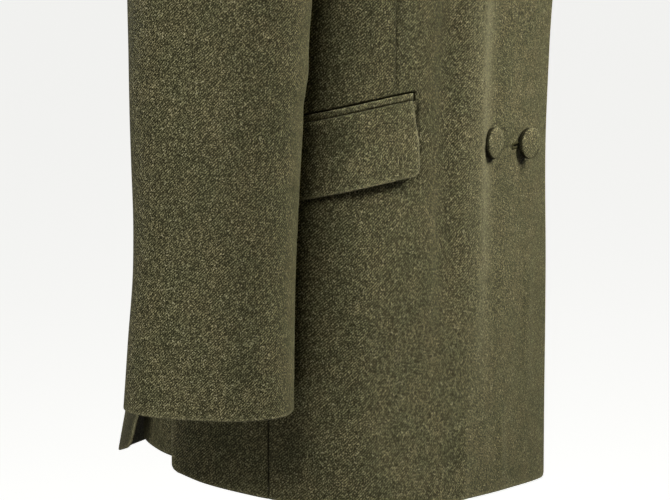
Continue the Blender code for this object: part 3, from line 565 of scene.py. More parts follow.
def wool_twill(name, light=1.0):
    """The jacket's cloth. Light scales the whole colour."""
    material = bpy.data.materials.new(name)
    material.use_nodes = True
    tree = material.node_tree
    tree.nodes.clear()
    place = add_node(tree, "UVMap", {"uv_map": WEAVE_MAP}, {})
    along = add_node(tree, "SeparateXYZ", {}, {0: place}, "X")
    up = add_node(tree, "SeparateXYZ", {}, {0: place}, "Y")

    # Warp ends side by side, each over two picks and under two, one pick higher from end to end. Slow noise
    # makes the ribs wander a little
    wander = add_node(tree, "TexNoise", {"noise_dimensions": '2D'}, {
        "Vector": place, "Scale": 1000 / WANDER_SIZE, "Detail": 1.0})
    ends = add_node(tree, "Math", {"operation": 'MULTIPLY'}, {0: along, 1: 1000 / END_SPACING})
    end = add_node(tree, "Math", {"operation": 'FLOOR'}, {0: ends})
    end_part = add_node(tree, "Math", {"operation": 'FRACT'}, {0: ends})
    step_up = add_node(tree, "Math", {"operation": 'MULTIPLY_ADD'}, {0: end, 1: -0.25, 2: wander})
    picks = add_node(tree, "Math", {"operation": 'MULTIPLY_ADD'}, {0: up, 1: 250 / END_SPACING, 2: step_up})
    float_half = add_node(tree, "Math", {"operation": 'MULTIPLY'}, {0: picks, 1: 2.0})
    float_number = add_node(tree, "Math", {"operation": 'FLOOR'}, {0: float_half})
    float_turn = add_node(tree, "Math", {"operation": 'MULTIPLY'}, {0: picks, 1: math.tau})
    rib = add_node(tree, "Math", {"operation": 'SINE'}, {0: float_turn})
    end_turn = add_node(tree, "Math", {"operation": 'MULTIPLY'}, {0: end_part, 1: math.pi})
    round_yarn = add_node(tree, "Math", {"operation": 'SINE'}, {0: end_turn})
    rib_share = add_node(tree, "Math", {"operation": 'MULTIPLY_ADD'}, {0: rib, 1: 0.5, 2: 0.5})
    yarn_height = add_node(tree, "Math", {"operation": 'MULTIPLY'}, {0: rib_share, 1: round_yarn})

    # Each float of yarn has its own shade, and clusters of light and dark fibres lie across them
    float_place = add_node(tree, "CombineXYZ", {}, {0: end, 1: float_number})
    float_shade = add_node(tree, "TexWhiteNoise", {"noise_dimensions": '2D'}, {"Vector": float_place})
    cluster = add_node(tree, "TexVoronoi", {"voronoi_dimensions": '2D'}, {
        "Vector": place, "Scale": 1000 / FLECK_SIZE}, "Color")
    fleck = add_node(tree, "SeparateXYZ", {}, {0: cluster}, "X")
    cloud = add_node(tree, "TexNoise", {"noise_dimensions": '2D'}, {
        "Vector": place, "Scale": 1000 / CLOUD_SIZE, "Detail": 3.0, "Roughness": 0.6})
    mixed = add_node(tree, "Math", {"operation": 'MULTIPLY'}, {0: float_shade, 1: FLOAT_PART})
    shade = add_node(tree, "Math", {"operation": 'MULTIPLY_ADD'}, {0: fleck, 1: FLECK_PART, 2: mixed})
    rib_light = add_node(tree, "Math", {"operation": 'MULTIPLY_ADD'}, {0: rib, 1: RIB_PART, 2: shade})
    ramp = tree.nodes.new("ShaderNodeValToRGB")
    tree.links.new(rib_light, ramp.inputs[0])
    stops = ramp.color_ramp.elements
    stops[0].position = DARK_SHADE
    stops[0].color = linear(WOOL_DARK)
    stops[1].position = LIGHT_SHADE
    stops[1].color = linear(WOOL_LIGHT)
    middle = stops.new(MID_SHADE)
    middle.color = linear(WOOL_MID)
    nep_cell = add_node(tree, "TexVoronoi", {"voronoi_dimensions": '2D'}, {
        "Vector": place, "Scale": 1000 / NEP_SIZE}, "Color")
    nep_chance = add_node(tree, "SeparateXYZ", {}, {0: nep_cell}, "Y")
    nep = add_node(tree, "Math", {"operation": 'GREATER_THAN'}, {0: nep_chance, 1: 1 - NEP_SHARE})
    nep_part = add_node(tree, "Math", {"operation": 'MULTIPLY'}, {0: nep, 1: NEP_STRENGTH})
    with_neps = add_node(tree, "MixRGB", {"blend_type": 'MIX'}, {
        0: nep_part, 1: ramp.outputs[0], 2: linear(WOOL_NEP)})
    brown_share = add_node(tree, "MapRange", {}, {0: cloud, 1: 0.35, 2: 0.65, 3: 0.0, 4: 1.0})
    dye = add_node(tree, "MixRGB", {"blend_type": 'MIX'}, {
        0: brown_share, 1: linear(WOOL_GREENER), 2: linear(WOOL_BROWNER)})
    dyed = add_node(tree, "MixRGB", {"blend_type": 'MULTIPLY'}, {0: 1.0, 1: with_neps, 2: dye})
    cloud_light = add_node(tree, "MapRange", {}, {
        0: cloud, 1: 0.3, 2: 0.7, 3: CLOUD_LIGHT[0] * light, 4: CLOUD_LIGHT[1] * light})
    clouded = add_node(tree, "MixRGB", {"blend_type": 'MULTIPLY'}, {0: 1.0, 1: dyed, 2: cloud_light})
    # Above 0 the cloth is paled: rubbed edges, and painted highlight on the front's ridge, on flap and vent
    # edges and on button rims
    wear_and_painted_shading = add_node(tree, "Attribute", {"attribute_name": WEAR_AND_PAINTED_SHADING}, {}, "Fac")
    paling = add_node(tree, "MapRange", {}, {0: wear_and_painted_shading, 1: 0.0, 2: 1.0, 3: 0.0, 4: PALING_STRENGTH})
    paled_fibres = add_node(tree, "Math", {"operation": 'MULTIPLY'}, {0: paling, 1: fleck})
    pale = add_node(tree, "MixRGB", {"blend_type": 'MIX'}, {
        0: paled_fibres, 1: clouded, 2: linear(WOOL_PALED)})
    # Below 0 the cloth is darkened by painted shade: in seams, the dart, the welt's groove, beside the flap,
    # on the skirt, in troughs and on button sides
    groove = add_node(tree, "MapRange", {}, {0: wear_and_painted_shading, 1: -1.0, 2: 0.0, 3: PAINTED_SHADE_LIGHT, 4: 1.0})
    marked = add_node(tree, "MixRGB", {"blend_type": 'MULTIPLY'}, {0: 1.0, 1: pale, 2: groove})

    # The relief: the yarns, and fibres that stand up from them
    fibres = add_node(tree, "TexNoise", {"noise_dimensions": '2D'}, {
        "Vector": place, "Scale": 1000 / FIBRE_SIZE, "Detail": 2.0, "Roughness": 0.6})
    relief = add_node(tree, "Math", {"operation": 'MULTIPLY_ADD'}, {
        0: fibres, 1: FIBRE_RELIEF, 2: yarn_height})
    bump = add_node(tree, "Bump", {}, {
        "Strength": RELIEF_STRENGTH, "Distance": RELIEF_HEIGHT, "Height": relief})
    roughness = add_node(tree, "MapRange", {}, {
        0: fleck, 1: 0.0, 2: 1.0, 3: WOOL_ROUGHNESS[0], 4: WOOL_ROUGHNESS[1]})
    shader = add_node(tree, "BsdfPrincipled", {}, {
        "Base Color": marked, "Roughness": roughness, "Normal": bump, "IOR": WOOL_IOR,
        "Specular IOR Level": WOOL_SPECULAR, "Specular Tint": linear(WOOL_GLOSS),
        "Sheen Weight": SHEEN_WEIGHT, "Sheen Roughness": SHEEN_ROUGHNESS, "Sheen Tint": linear(WOOL_SHEEN)})
    add_node(tree, "OutputMaterial", {}, {"Surface": shader})
    return material


wool = wool_twill("wool_twill_milled")


def pocket_drop(across):
    """How far the pocket's mouth has dropped at a share of its length. It starts level at the front."""
    return POCKET_SLANT * across * across / (across + POCKET_LEVEL) * (1 + POCKET_LEVEL)


def pocket_line(angle, below=0.0):
    """The way up to the pocket's mouth at an angle, or to a line below it."""
    across = np.clip((-angle - POCKET_ANGLES[0]) / (POCKET_ANGLES[1] - POCKET_ANGLES[0]), 0.0, 1.0)
    return way_up(POCKET_HEIGHT - pocket_drop(across) - below)


def pocket_sink(angle, height):
    """How deep the front is pressed in under the welt and into the groove round it, from 0 to 1."""
    below = pocket_line(angle) - way_up(height)
    past = ease(below, WELT_WIDTH + GROOVE_LOW[0], WELT_WIDTH + GROOVE_LOW[1])
    inside = ease(below, *GROOVE_TOP) * (1 - past)
    return inside * ease(-angle, POCKET_ANGLES[0] + GROOVE_END[0], POCKET_ANGLES[0] + GROOVE_END[1])


def flap_painted_shadow(angle, height):
    """A painted shadow on the front beside the flap's front edge, plainest at its top, as a mark below 0."""
    below = (pocket_line(angle) - way_up(height) - WELT_WIDTH) / FLAP_DEPTH
    from_edge = (-angle - POCKET_ANGLES[0]) * MM_PER_DEGREE + FLAP_LINE[0] * (1 - 2 * below)
    shadow_darkness = FLAP_SHADOW_DARKNESS[0] - FLAP_SHADOW_DARKNESS[1] * ease(below, *FLAP_SHADOW_FADE)
    line = bell(from_edge, FLAP_LINE[1])
    return -line * ease(below, *FLAP_SHADOW_START) * shadow_darkness * (1 - ease(below, *FLAP_SHADOW_END))


def dart_dip(angle, height):
    """The dart: a sharp line in a soft hollow, running out at both ends."""
    off = abs(angle - DART_ANGLE) * MM_PER_DEGREE
    low, high = DART_HEIGHTS
    fade = ease(height, low, low + DART_RUN_OUT[0]) * (1 - ease(height, high - DART_RUN_OUT[1], high))
    return -fade * (DART_LINE[0] * bell(off, DART_LINE[1]) + DART_HOLLOW[0] * bell(off, DART_HOLLOW[1]))


def beside_armhole(angle, height):
    """1 at the heights where a panel's side edge is the armhole, 0 where it is a side seam."""
    bottom = armhole_floor(-angle)
    return ease(height, bottom - ARMHOLE_PASSAGE, bottom + ARMHOLE_PASSAGE)


def corner_cut(distance):
    """How far a hem rises where its corner is rounded off."""
    inside = np.clip(1 - distance / CORNER_RADIUS, 0.0, 1.0)
    return CORNER_RADIUS * (1 - np.sqrt(1 - inside ** 2))


def calm_shoulder(lift, height):
    """The folds die away over the shoulders, where the cloth lies close."""
    return lift * (1 - SHOULDER_CALM * ease(height, *SHOULDER_CALM_HEIGHTS))


def make_front(name, side):
    """A front on the form, with its dart, folds and edges. The right one has the buttonhole."""
    def column_pins(height):
        start = front_side_angle(height)
        end = angle_at(roll_x(height), height)
        leave = ease(height, *LEAVE_HEIGHTS)
        dart = DART_ANGLE + (start + (end - start) * DART_LINE_SHARE - DART_ANGLE) * leave
        welt_end = -POCKET_ANGLES[0] - WELT_LINE_MARGIN
        welt = welt_end + (start + (end - start) * WELT_LINE_SHARE - welt_end) * leave
        return start, dart, welt, end

    def row_pins(angle):
        to_edge = (angle_at(EDGE_X, HEM_HEIGHT) - angle) * MM_PER_DEGREE
        hem = way_up(HEM_HEIGHT) + corner_cut(to_edge)
        buttonhole = way_up(BUTTONHOLE_HEIGHT)
        return hem, buttonhole, pocket_line(angle, WELT_WIDTH), pocket_line(angle), way_up(NECK_HEIGHT)

    angle, height, edges = lay_panel(
        rule_lines(*FRONT_COLUMNS), rule_lines(*FRONT_ROWS), column_pins, row_pins)
    beside = beside_armhole(angle, height)
    finish = finish_edges(edges, {"low": 0.0, "high": 1.0, "start": 1 - ARMHOLE_EASE * beside, "end": 0.0})
    lift = soft_folds(BODY_FOLDS, side, angle * MM_PER_DEGREE, height, MM_PER_DEGREE)
    lift = calm_shoulder(lift, height)
    lift = lift * (1 - beside * (1 - ease(edges["start"], 0.0, SEAM_PRESS))) + dart_dip(angle, height)
    lift = lift - WELT_SINK * pocket_sink(angle, height)
    # Painted shade in the dart's dip, in the groove round the welt and beside the flap's front edge
    marks = DART_PAINTED_SHADE * dart_dip(angle, height) - pocket_sink(angle, height) + flap_painted_shadow(angle, height)
    # Painted highlight on the front's ridge and painted shade in its trough
    marks = marks + soft_folds(FRONT_PAINTED_SHADING, side, angle * MM_PER_DEGREE, height, MM_PER_DEGREE, ())
    hole = None
    if side < 0:
        grid_x = form_point(angle, height)[..., 0]
        level = abs(way_up(height) - way_up(BUTTONHOLE_HEIGHT)) < BUTTONHOLE_HALF
        slit = level & (grid_x > BUTTONHOLE_X[0]) & (grid_x < BUTTONHOLE_X[1])
        hole = slit[:-1, :-1] & slit[1:, :-1] & slit[:-1, 1:] & slit[1:, 1:]
    return mesh_cloth(name, front_point(side, angle, height), finish, lift, side > 0, hole, marks)


def dress(piece, material, node):
    """The piece's material and its place in the frame; the part that it replaces is hidden."""
    piece.data.materials.append(material)
    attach(piece, "root")
    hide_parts(node)


dress(make_front("right_front", -1), wool, "front_right")


# ================================================================ the left front
# Cut as the right one. It lies under the right front at the closing and has no buttonhole that shows.

dress(make_front("left_front", 1), wool, "front_left")


# ================================================================ the side panels
# A narrow panel under each arm, sewn to the front and the back. Below the top of the vent its back edge is
# free, turned in and pressed.

VENT_SEAM_ANGLE = 111.0
BACK_SEAM_TOP_ANGLE = 104.0
BACK_SEAM_RISE = 30.0               # over the armhole's bottom, where that seam has its upper angle
VENT_EDGE_PALING = 3.2                      # how far in the vent's free edge is pale: rubbed, and a painted highlight where it catches the light
VENT_PASSAGE = 6.0                  # the height over which the sewn seam becomes the free edge
SIDE_COLUMNS = ((18, 1.0),)
SIDE_ROWS = ((66, 1.0), (1, 0.6), (50, 1.0))


def back_seam_angle(height):
    """The seam between side panel and back, which becomes the vent."""
    share = ease(height, HEM_HEIGHT + VENT_LENGTH, ARMHOLE_BOTTOM + BACK_SEAM_RISE)
    return -(VENT_SEAM_ANGLE + (BACK_SEAM_TOP_ANGLE - VENT_SEAM_ANGLE) * share)


def above_vent(height):
    """1 where the seam over the vent is sewn, 0 where the vent is open."""
    top = HEM_HEIGHT + VENT_LENGTH
    return ease(height, top - VENT_PASSAGE, top + VENT_PASSAGE)


def make_side_panel(name, side):
    """A side panel, pressed in round the welt's back end. Its back edge is free below the vent's top."""
    def column_pins(height):
        return back_seam_angle(height), np.full(height.shape, -FRONT_SEAM_ANGLE)

    def row_pins(angle):
        hem = way_up(HEM_HEIGHT) + corner_cut((angle + VENT_SEAM_ANGLE) * MM_PER_DEGREE)
        return hem, pocket_line(angle, WELT_WIDTH), pocket_line(angle), way_up(armhole_floor(-angle))

    angle, height, edges = lay_panel(rule_lines(*SIDE_COLUMNS), rule_lines(*SIDE_ROWS), column_pins, row_pins)
    sewn = above_vent(height)
    finish = finish_edges(edges, {"low": 0.0, "high": 1.0, "start": sewn, "end": 1.0})
    sunk = pocket_sink(angle, height)
    # The vent's free edge is pale, both rubbed and a painted highlight; the groove round the welt's back end
    # has painted shade
    paling = (1 - sewn) * bell(edges["start"], VENT_EDGE_PALING)
    lift = soft_folds(BODY_FOLDS, side, angle * MM_PER_DEGREE, height, MM_PER_DEGREE) - WELT_SINK * sunk
    lift = lift * ease(edges["high"], 0.0, SEAM_PRESS)
    return mesh_cloth(name, body_point(angle, height), finish, lift, side > 0, marks=paling - sunk)


dress(make_side_panel("right_side_panel", -1), wool, "side_panel_right")
dress(make_side_panel("left_side_panel", 1), wool, "side_panel_left")


# ================================================================ the backs
# Two pieces joined down the middle. Below the vents the skirt swings out behind, most at its free edges,
# whose corners curl up a little.

VENT_KICK_EDGE = 43.5
VENT_KICK_MIDDLE = 13.0
VENT_INWARD = 0.37
VENT_BEND = 1.35
VENT_CURL = 12.0
VENT_DROP_EDGE = 4.5
VENT_DROP_MIDDLE = 14.0
SKIRT_PAINTED_SHADE = 0.55                   # how dark the painted shade on the skirt's outside is beside the vent's free edge
SKIRT_PAINTED_SHADE_SPAN = (12.0, 60.0)      # how far in that painted shade is full, and gone
BACK_COLUMNS = ((50, 1.0),)
BACK_ROWS = ((190, 1.0),)


def skirt_swing(angle, height):
    """How the back skirt swings out behind, below the top of the vents."""
    below = np.clip((HEM_HEIGHT + VENT_LENGTH - height) / VENT_LENGTH, 0.0, None)
    side = (180.0 + angle) / (180.0 - VENT_SEAM_ANGLE)
    kick = (VENT_KICK_MIDDLE + (VENT_KICK_EDGE - VENT_KICK_MIDDLE) * side * side) * below ** VENT_BEND
    curl = VENT_CURL * side ** 4 * below ** 2
    drop = (VENT_DROP_MIDDLE + (VENT_DROP_EDGE - VENT_DROP_MIDDLE) * side) * below ** 2
    return np.stack([VENT_INWARD * side * kick, kick, kick * kick / (2 * VENT_LENGTH) + curl - drop], -1)


def back_side_angle(height):
    """Where a back ends at the side: seam, armhole, then shoulder seam."""
    over_seam = height > armhole_floor(BACK_SEAM_TOP_ANGLE)
    at_armhole = np.where(over_seam, -armhole_angle(height, True), back_seam_angle(height))
    return np.where(height >= SHOULDER_HEIGHT, -90.0, at_armhole)


def make_back(name, side):
    """A back, from the centre seam to the vent's free edge, the side seam and the armhole."""
    def column_pins(height):
        return np.full(height.shape, -180.0), back_side_angle(height)

    def row_pins(angle):
        hem = way_up(HEM_HEIGHT) + corner_cut((-VENT_SEAM_ANGLE - angle) * MM_PER_DEGREE)
        return hem, way_up(NECK_HEIGHT)

    angle, height, edges = lay_panel(rule_lines(*BACK_COLUMNS), rule_lines(*BACK_ROWS), column_pins, row_pins)
    sewn = above_vent(height)
    beside = beside_armhole(angle, height)
    side_kind = sewn * (1 - ARMHOLE_EASE * beside)
    finish = finish_edges(edges, {"low": 0.0, "high": 1.0, "start": 1.0, "end": side_kind})
    lift = soft_folds(BODY_FOLDS, side, angle * MM_PER_DEGREE, height, MM_PER_DEGREE)
    lift = calm_shoulder(lift, height)
    lift = lift * (1 - beside * (1 - ease(edges["end"], 0.0, SEAM_PRESS)))
    # Painted shade on the skirt's outside beside its free edge, and a pale edge line, both rubbed and a
    # painted highlight
    skirt_shade = SKIRT_PAINTED_SHADE * (1 - ease(edges["end"], *SKIRT_PAINTED_SHADE_SPAN))
    marks = (1 - sewn) * (bell(edges["end"], VENT_EDGE_PALING) - skirt_shade)
    grid = body_point(angle, height) + skirt_swing(angle, height)
    return mesh_cloth(name, grid, finish, lift, side > 0, marks=marks)


dress(make_back("right_back", -1), wool, "back_right")
dress(make_back("left_back", 1), wool, "back_left")


# ================================================================ the vents' underlaps
# Each side panel goes on under the back skirt, so that the vent stays covered when the skirt swings out.

UNDERLAP_GAP = 1.5
UNDERLAP_SWING = 7.0
UNDERLAP_ANGLE = 34.0
UNDERLAP_TUCK = 6.0
UNDERLAP_SHORTER = 11.0
UNDERLAP_TOP_SPACE = 5.0
UNDERLAP_WAVE = (0.5, 3.1, 40.0)    # height, and length over tau in degrees round and in mm up
UNDERLAP_COLUMNS = (20, 1.0)
UNDERLAP_ROWS = (40, 1.0)


def make_underlap(name, side):
    """A plain strip that lies a little inside the back skirt and swings out less."""
    across_lines = rule_lines(UNDERLAP_COLUMNS)
    up_lines = rule_lines(UNDERLAP_ROWS)
    start = UNDERLAP_TUCK - VENT_SEAM_ANGLE - UNDERLAP_ANGLE
    end = UNDERLAP_TUCK - VENT_SEAM_ANGLE
    low = HEM_HEIGHT + UNDERLAP_SHORTER
    high = HEM_HEIGHT + VENT_LENGTH - UNDERLAP_TOP_SPACE
    shape = (up_lines.shape[1], across_lines.shape[1])
    angle = place_lines(across_lines, [np.full(shape, start), np.full(shape, end)], 1 / MM_PER_DEGREE, 1)
    height = place_lines(up_lines, [np.full(shape, low), np.full(shape, high)], 1.0, 0)
    edges = {
        "low": height - low,
        "high": high - height,
        "start": (angle - start) * MM_PER_DEGREE,
        "end": (end - angle) * MM_PER_DEGREE,
    }
    swing = UNDERLAP_SWING * (end - angle) / UNDERLAP_ANGLE * (high - height) / (high - low)
    finish = finish_edges(edges, {"low": 0.0, "high": 0.0, "start": 0.0, "end": 0.0})
    wave, wave_round, wave_up = UNDERLAP_WAVE
    lift = wave * np.sin(angle / wave_round + height / wave_up)
    return mesh_cloth(name, body_point(angle, height, swing - CLOTH - UNDERLAP_GAP), finish, lift, side > 0)


dress(make_underlap("right_vent_underlap", -1), wool, "vent_underlap_right")
dress(make_underlap("left_vent_underlap", 1), wool, "vent_underlap_left")


# ================================================================ the sleeves
# Each is cut in two pieces, a wide one over the arm and a narrow one under it, with seams at the front and
# behind. The head is eased into the armhole, the cuff is a plain pressed hem.

CUFF_HEIGHT = -672.0
ARMHOLE_GAP = 0.1
FOREARM_SEAM_HEIGHT = -200.0
HINDARM_SEAM_HEIGHT = -140.0
SLEEVE_HEAD = (
    # turn, reach, half_width, underarm_x, underarm_z
    (0.0, 187.0, 70.0, 211.0, -236.5),
    (6.0, 184.0, 71.0, 213.5, -238.0),
    (13.0, 174.0, 72.0, 214.5, -241.0),
    (24.0, 149.0, 73.0, 215.3, -246.0),
    (38.0, 121.0, 73.5, 215.8, -250.0),
    (56.0, 103.0, 73.5, 216.0, -255.0),
    (74.0, 94.0, 72.5, 216.0, -261.0),
    (90.0, 90.0, 72.0, 216.0, -268.0),
)
SLEEVE_ARM = (
    # height, centre_x, centre_y, half_thickness, half_width, turn, squareness
    (-268.0, 261.0, -6.0, 45.0, 72.0, 0.0, 2.2),
    (-330.0, 261.0, -4.0, 45.0, 70.0, 2.0, 2.3),
    (-400.0, 260.5, -2.0, 44.5, 66.5, 4.0, 2.4),
    (-480.0, 259.5, 0.0, 43.5, 62.0, 6.0, 2.5),
    (-560.0, 258.0, 2.8, 42.0, 60.3, 7.0, 2.5),
    (-620.0, 257.5, 6.4, 41.5, 62.4, 8.0, 2.5),
    (-690.0, 257.0, 10.0, 41.0, 65.0, 8.0, 2.5),
)
# Round the arm in degrees: 0 is the outer side, 90 the front
SLEEVE_FOLDS = (
    # side, turn, height, half_length, half_width, depth, lean
    (-1, -20.0, -560.0, 130.0, 20.0, -1.5, 4.0),
    (-1, 28.0, -500.0, 120.0, 16.0, 1.1, -6.0),
    (-1, 88.0, -440.0, 36.0, 8.0, -1.6, 74.0),
    (-1, 96.0, -412.0, 42.0, 9.0, 1.2, 68.0),
    (-1, 82.0, -382.0, 34.0, 8.0, -1.3, 78.0),
    (-1, -62.0, -450.0, 80.0, 13.0, 1.2, 10.0),
    (-1, 10.0, -330.0, 100.0, 18.0, -1.2, 12.0),
    (-1, 54.0, -620.0, 60.0, 12.0, 0.9, 6.0),
    (1, 12.0, -540.0, 120.0, 18.0, -1.4, -4.0),
    (1, -28.0, -480.0, 110.0, 16.0, 1.3, 6.0),
    (1, 90.0, -450.0, 40.0, 9.0, -1.7, -72.0),
    (1, 84.0, -420.0, 36.0, 8.0, 1.2, -76.0),
    (1, 95.0, -392.0, 40.0, 9.0, -1.4, -66.0),
    (1, 60.0, -610.0, 70.0, 12.0, 1.0, -4.0),
    (0, 150.0, -420.0, 60.0, 10.0, -1.4, 60.0),
    (0, 190.0, -470.0, 80.0, 12.0, 1.2, 10.0),
)
SLEEVE_MM_PER_DEGREE = 1.0
SLEEVE_CENTRING = 0.7               # the share of the head's turn in which its rings reach the arm's middle
ARMHOLE_HOLLOW = 0.3                # and in which the armhole's hollow is lost
ARMHOLE_BLEND = 0.22                # and in which the rings leave the armhole's line
HEAD_STEP = (2.0, 0.07)             # how far out the cloth stands clear of the armhole, and by which share
SLEEVE_FOLDS_IN = (0.05, 0.4)       # and where the folds set in
SLEEVE_STEPS = 401                  # for measuring the way along a sleeve
TOP_SLEEVE_CELLS = (60, 136)
UNDER_SLEEVE_CELLS = (34, 100)


def superellipse(turn, squareness):
    """Shares of the two half axes at an angle round a rounded rectangle."""
    across = np.cos(turn)
    forward = np.sin(turn)
    radius = (abs(across) ** squareness + abs(forward) ** squareness) ** (-1 / squareness)
    return radius * across, radius * forward


def sleeve_head_point(position, turn):
    """Rings that turn about the underarm, from the upright armhole to the level arm."""
    table = [(row[0] / 90.0, *row) for row in SLEEVE_HEAD]
    degrees, reach, half_width, under_x, under_z = read_table(table, position)
    tilt = np.radians(degrees)
    long_share, cross_share = superellipse(turn, 2.0 + 0.2 * position)
    way = reach / 2 * (1 + long_share)
    x = -under_x - np.sin(tilt) * way
    y = SLEEVE_ARM[0][2] * ease(position, 0.0, SLEEVE_CENTRING) - half_width * cross_share
    z = under_z + np.cos(tilt) * way
    share = np.clip((SHOULDER_HEIGHT - z) / (SHOULDER_HEIGHT - ARMHOLE_BOTTOM), 0.0, 1.0)
    x = x + ARMHOLE_DEPTH * 4 * share * (1 - share) * (1 - ease(position, 0.0, ARMHOLE_HOLLOW))
    return np.stack([x, y, z], -1)


def sleeve_arm_point(position, turn):
    """Level rings from the underarm to the cuff."""
    height = SLEEVE_ARM[0][0] + (position - 1.0) * (CUFF_HEIGHT - SLEEVE_ARM[0][0])
    centre_x, centre_y, thickness, half_width, twist, squareness = read_table(SLEEVE_ARM, height)
    out_share, front_share = superellipse(turn, squareness)
    x = -thickness * out_share
    y = -half_width * front_share
    twist = np.radians(twist)
    return np.stack([
        -centre_x + x * np.cos(twist) - y * np.sin(twist),
        centre_y + x * np.sin(twist) + y * np.cos(twist),
        height,
    ], -1)


def sleeve_point(position, degrees):
    """The right sleeve's inner face. Positions 0 to 1 turn round the underarm, 1 to 2 go down the arm."""
    position, degrees = np.broadcast_arrays(position, degrees)
    turn = np.radians(degrees)
    head = sleeve_head_point(np.minimum(position, 1.0), turn)
    arm = sleeve_arm_point(np.maximum(position, 1.0), turn)
    point = np.where(position[..., None] < 1.0, head, arm)
    middle = (SHOULDER_HEIGHT + ARMHOLE_BOTTOM) / 2
    height = middle + (SHOULDER_HEIGHT - middle) * np.cos(turn)
    behind = (degrees % 360.0) > 180.0
    edge_angle = -np.where(behind, armhole_angle(height, True), armhole_angle(height))
    start = form_point(edge_angle, height)
    clear = body_point(edge_angle, height, CLOTH)[..., 0] - start[..., 0]
    start_x = start[..., 0] + clear - ARMHOLE_GAP
    share = ease(position, 0.0, ARMHOLE_BLEND)[..., None]
    x = np.minimum(point[..., 0], start_x - HEAD_STEP[0] * np.clip(position / HEAD_STEP[1], 0.0, 1.0))
    x = np.where(position == 0.0, start_x, x)
    rest = start[..., 1:] + (point[..., 1:] - start[..., 1:]) * share
    return np.concatenate([x[..., None], rest], -1)


def make_sleeve_piece(name, side, start, end, cells):
    """A sleeve piece between two seams, given as angles round the arm at the armhole."""
    columns, rows = cells
    centre = (start + end) / 2
    places = np.linspace(2.0, 0.0, SLEEVE_STEPS)
    steps = np.linalg.norm(np.diff(sleeve_point(places, centre), axis=0), axis=1)
    way = np.concatenate([[0.0], np.cumsum(steps)])
    column_lines = rule_lines((columns, 1.0))
    row_lines = rule_lines((rows, 1.0))
    shape = (row_lines.shape[1], column_lines.shape[1])
    along = place_lines(row_lines, [np.full(shape, 0.0), np.full(shape, way[-1])], 1.0, 0)
    position = np.interp(along, way, places)
    degrees = place_lines(
        column_lines, [np.full(shape, start), np.full(shape, end)], 1 / SLEEVE_MM_PER_DEGREE, 1)
    edges = {
        "low": along,
        "high": way[-1] - along,
        "start": (degrees - start) * SLEEVE_MM_PER_DEGREE,
        "end": (end - degrees) * SLEEVE_MM_PER_DEGREE,
    }
    finish = finish_edges(edges, {"low": 0.0, "high": 1 - ARMHOLE_EASE, "start": 1.0, "end": 1.0})
    grid = sleeve_point(position, degrees)
    lift = soft_folds(SLEEVE_FOLDS, side, degrees * SLEEVE_MM_PER_DEGREE, grid[..., 2], SLEEVE_MM_PER_DEGREE)
    lift = lift * ease(position, *SLEEVE_FOLDS_IN)
    lift = lift * ease(np.minimum(edges["start"], edges["end"]), 0.0, SEAM_PRESS)
    return mesh_cloth(name, grid, finish, lift, side > 0)


def seam_turn(height):
    """The angle round the armhole at which a sleeve's seam starts at a height."""
    middle = (SHOULDER_HEIGHT + ARMHOLE_BOTTOM) / 2
    return math.degrees(math.acos((height - middle) / (SHOULDER_HEIGHT - middle)))


forearm_turn = seam_turn(FOREARM_SEAM_HEIGHT)
hindarm_turn = 360 - seam_turn(HINDARM_SEAM_HEIGHT)
for side, word in ((-1, "right"), (1, "left")):
    over = make_sleeve_piece(word + "_top_sleeve", side, hindarm_turn - 360, forearm_turn, TOP_SLEEVE_CELLS)
    dress(over, wool, "sleeve_top_" + word)
    under = make_sleeve_piece(word + "_under_sleeve", side, forearm_turn, hindarm_turn, UNDER_SLEEVE_CELLS)
    dress(under, wool, "sleeve_under_" + word)


# ================================================================ the pockets
# A narrow welt of doubled twill edges the slanting mouth, and a flap hangs from under it. Its free edges
# are turned in and pressed, and its lower corners are rounded.

FLAP_CORNER = 8.0
FLAP_SHARES = (0.0, 0.995)          # along the pocket, at the flap's lower edge
FLAP_TOP_SHARES = (0.03, 0.985)
FLAP_STAND = (0.25, 4.6)            # space under the flap at its top and at its lower edge
FLAP_TOP_GAP = 0.1                  # from the welt's lower edge to the flap
WELT_PROUD = -1.3                   # the welt's inner face, from the front's outer face
WELT_SHARES = (0.02, 1.0)           # along the pocket, the welt's two ends
WELT_CELLS = (34, 1, 0.6)           # along, down and the scale of the fine steps
FLAP_CELLS = (44, 22, 0.8)
FLAP_SLANT = 0.6                    # the share of the flap's depth in which its ends slant
FLAP_STAND_POWER = 1.3
FLAP_WAVE = (0.5, 9.0)              # height at the lower edge, and turns in radians along the flap
FLAP_EDGE_PALING = (0.7, 1.3)               # how pale its ends are, rubbed and with a painted highlight, and how far in
POCKET_LENGTH = (POCKET_ANGLES[1] - POCKET_ANGLES[0]) * MM_PER_DEGREE


def pocket_place(side, across, down, out):
    """A place over a front, from the pocket's front end backwards and down from its mouth."""
    angle = POCKET_ANGLES[0] + (POCKET_ANGLES[1] - POCKET_ANGLES[0]) * across
    height = POCKET_HEIGHT - pocket_drop(np.clip(across, 0.0, None)) - down
    return front_point(side, -angle, height, out + soft_folds(
        BODY_FOLDS, side, -angle * MM_PER_DEGREE, height, MM_PER_DEGREE))


def lay_strip(start, end, low, high, columns, rows, scale):
    """Shares along and millimetres down a strip whose ends may slant, and the distances from its edges."""
    column_lines = rule_lines((columns, scale))
    row_lines = rule_lines((rows, scale))
    shape = (row_lines.shape[1], column_lines.shape[1])
    down = -place_lines(row_lines, [np.full(shape, -low), np.full(shape, -high)], 1.0, 0)
    starts = np.broadcast_to(start(down), shape)
    ends = np.broadcast_to(end(down), shape)
    across = place_lines(column_lines, [starts, ends], -1 / POCKET_LENGTH, 1)
    edges = {
        "low": low - down,
        "high": down - high,
        "start": (starts - across) * POCKET_LENGTH,
        "end": (across - ends) * POCKET_LENGTH,
    }
    return across, down, edges


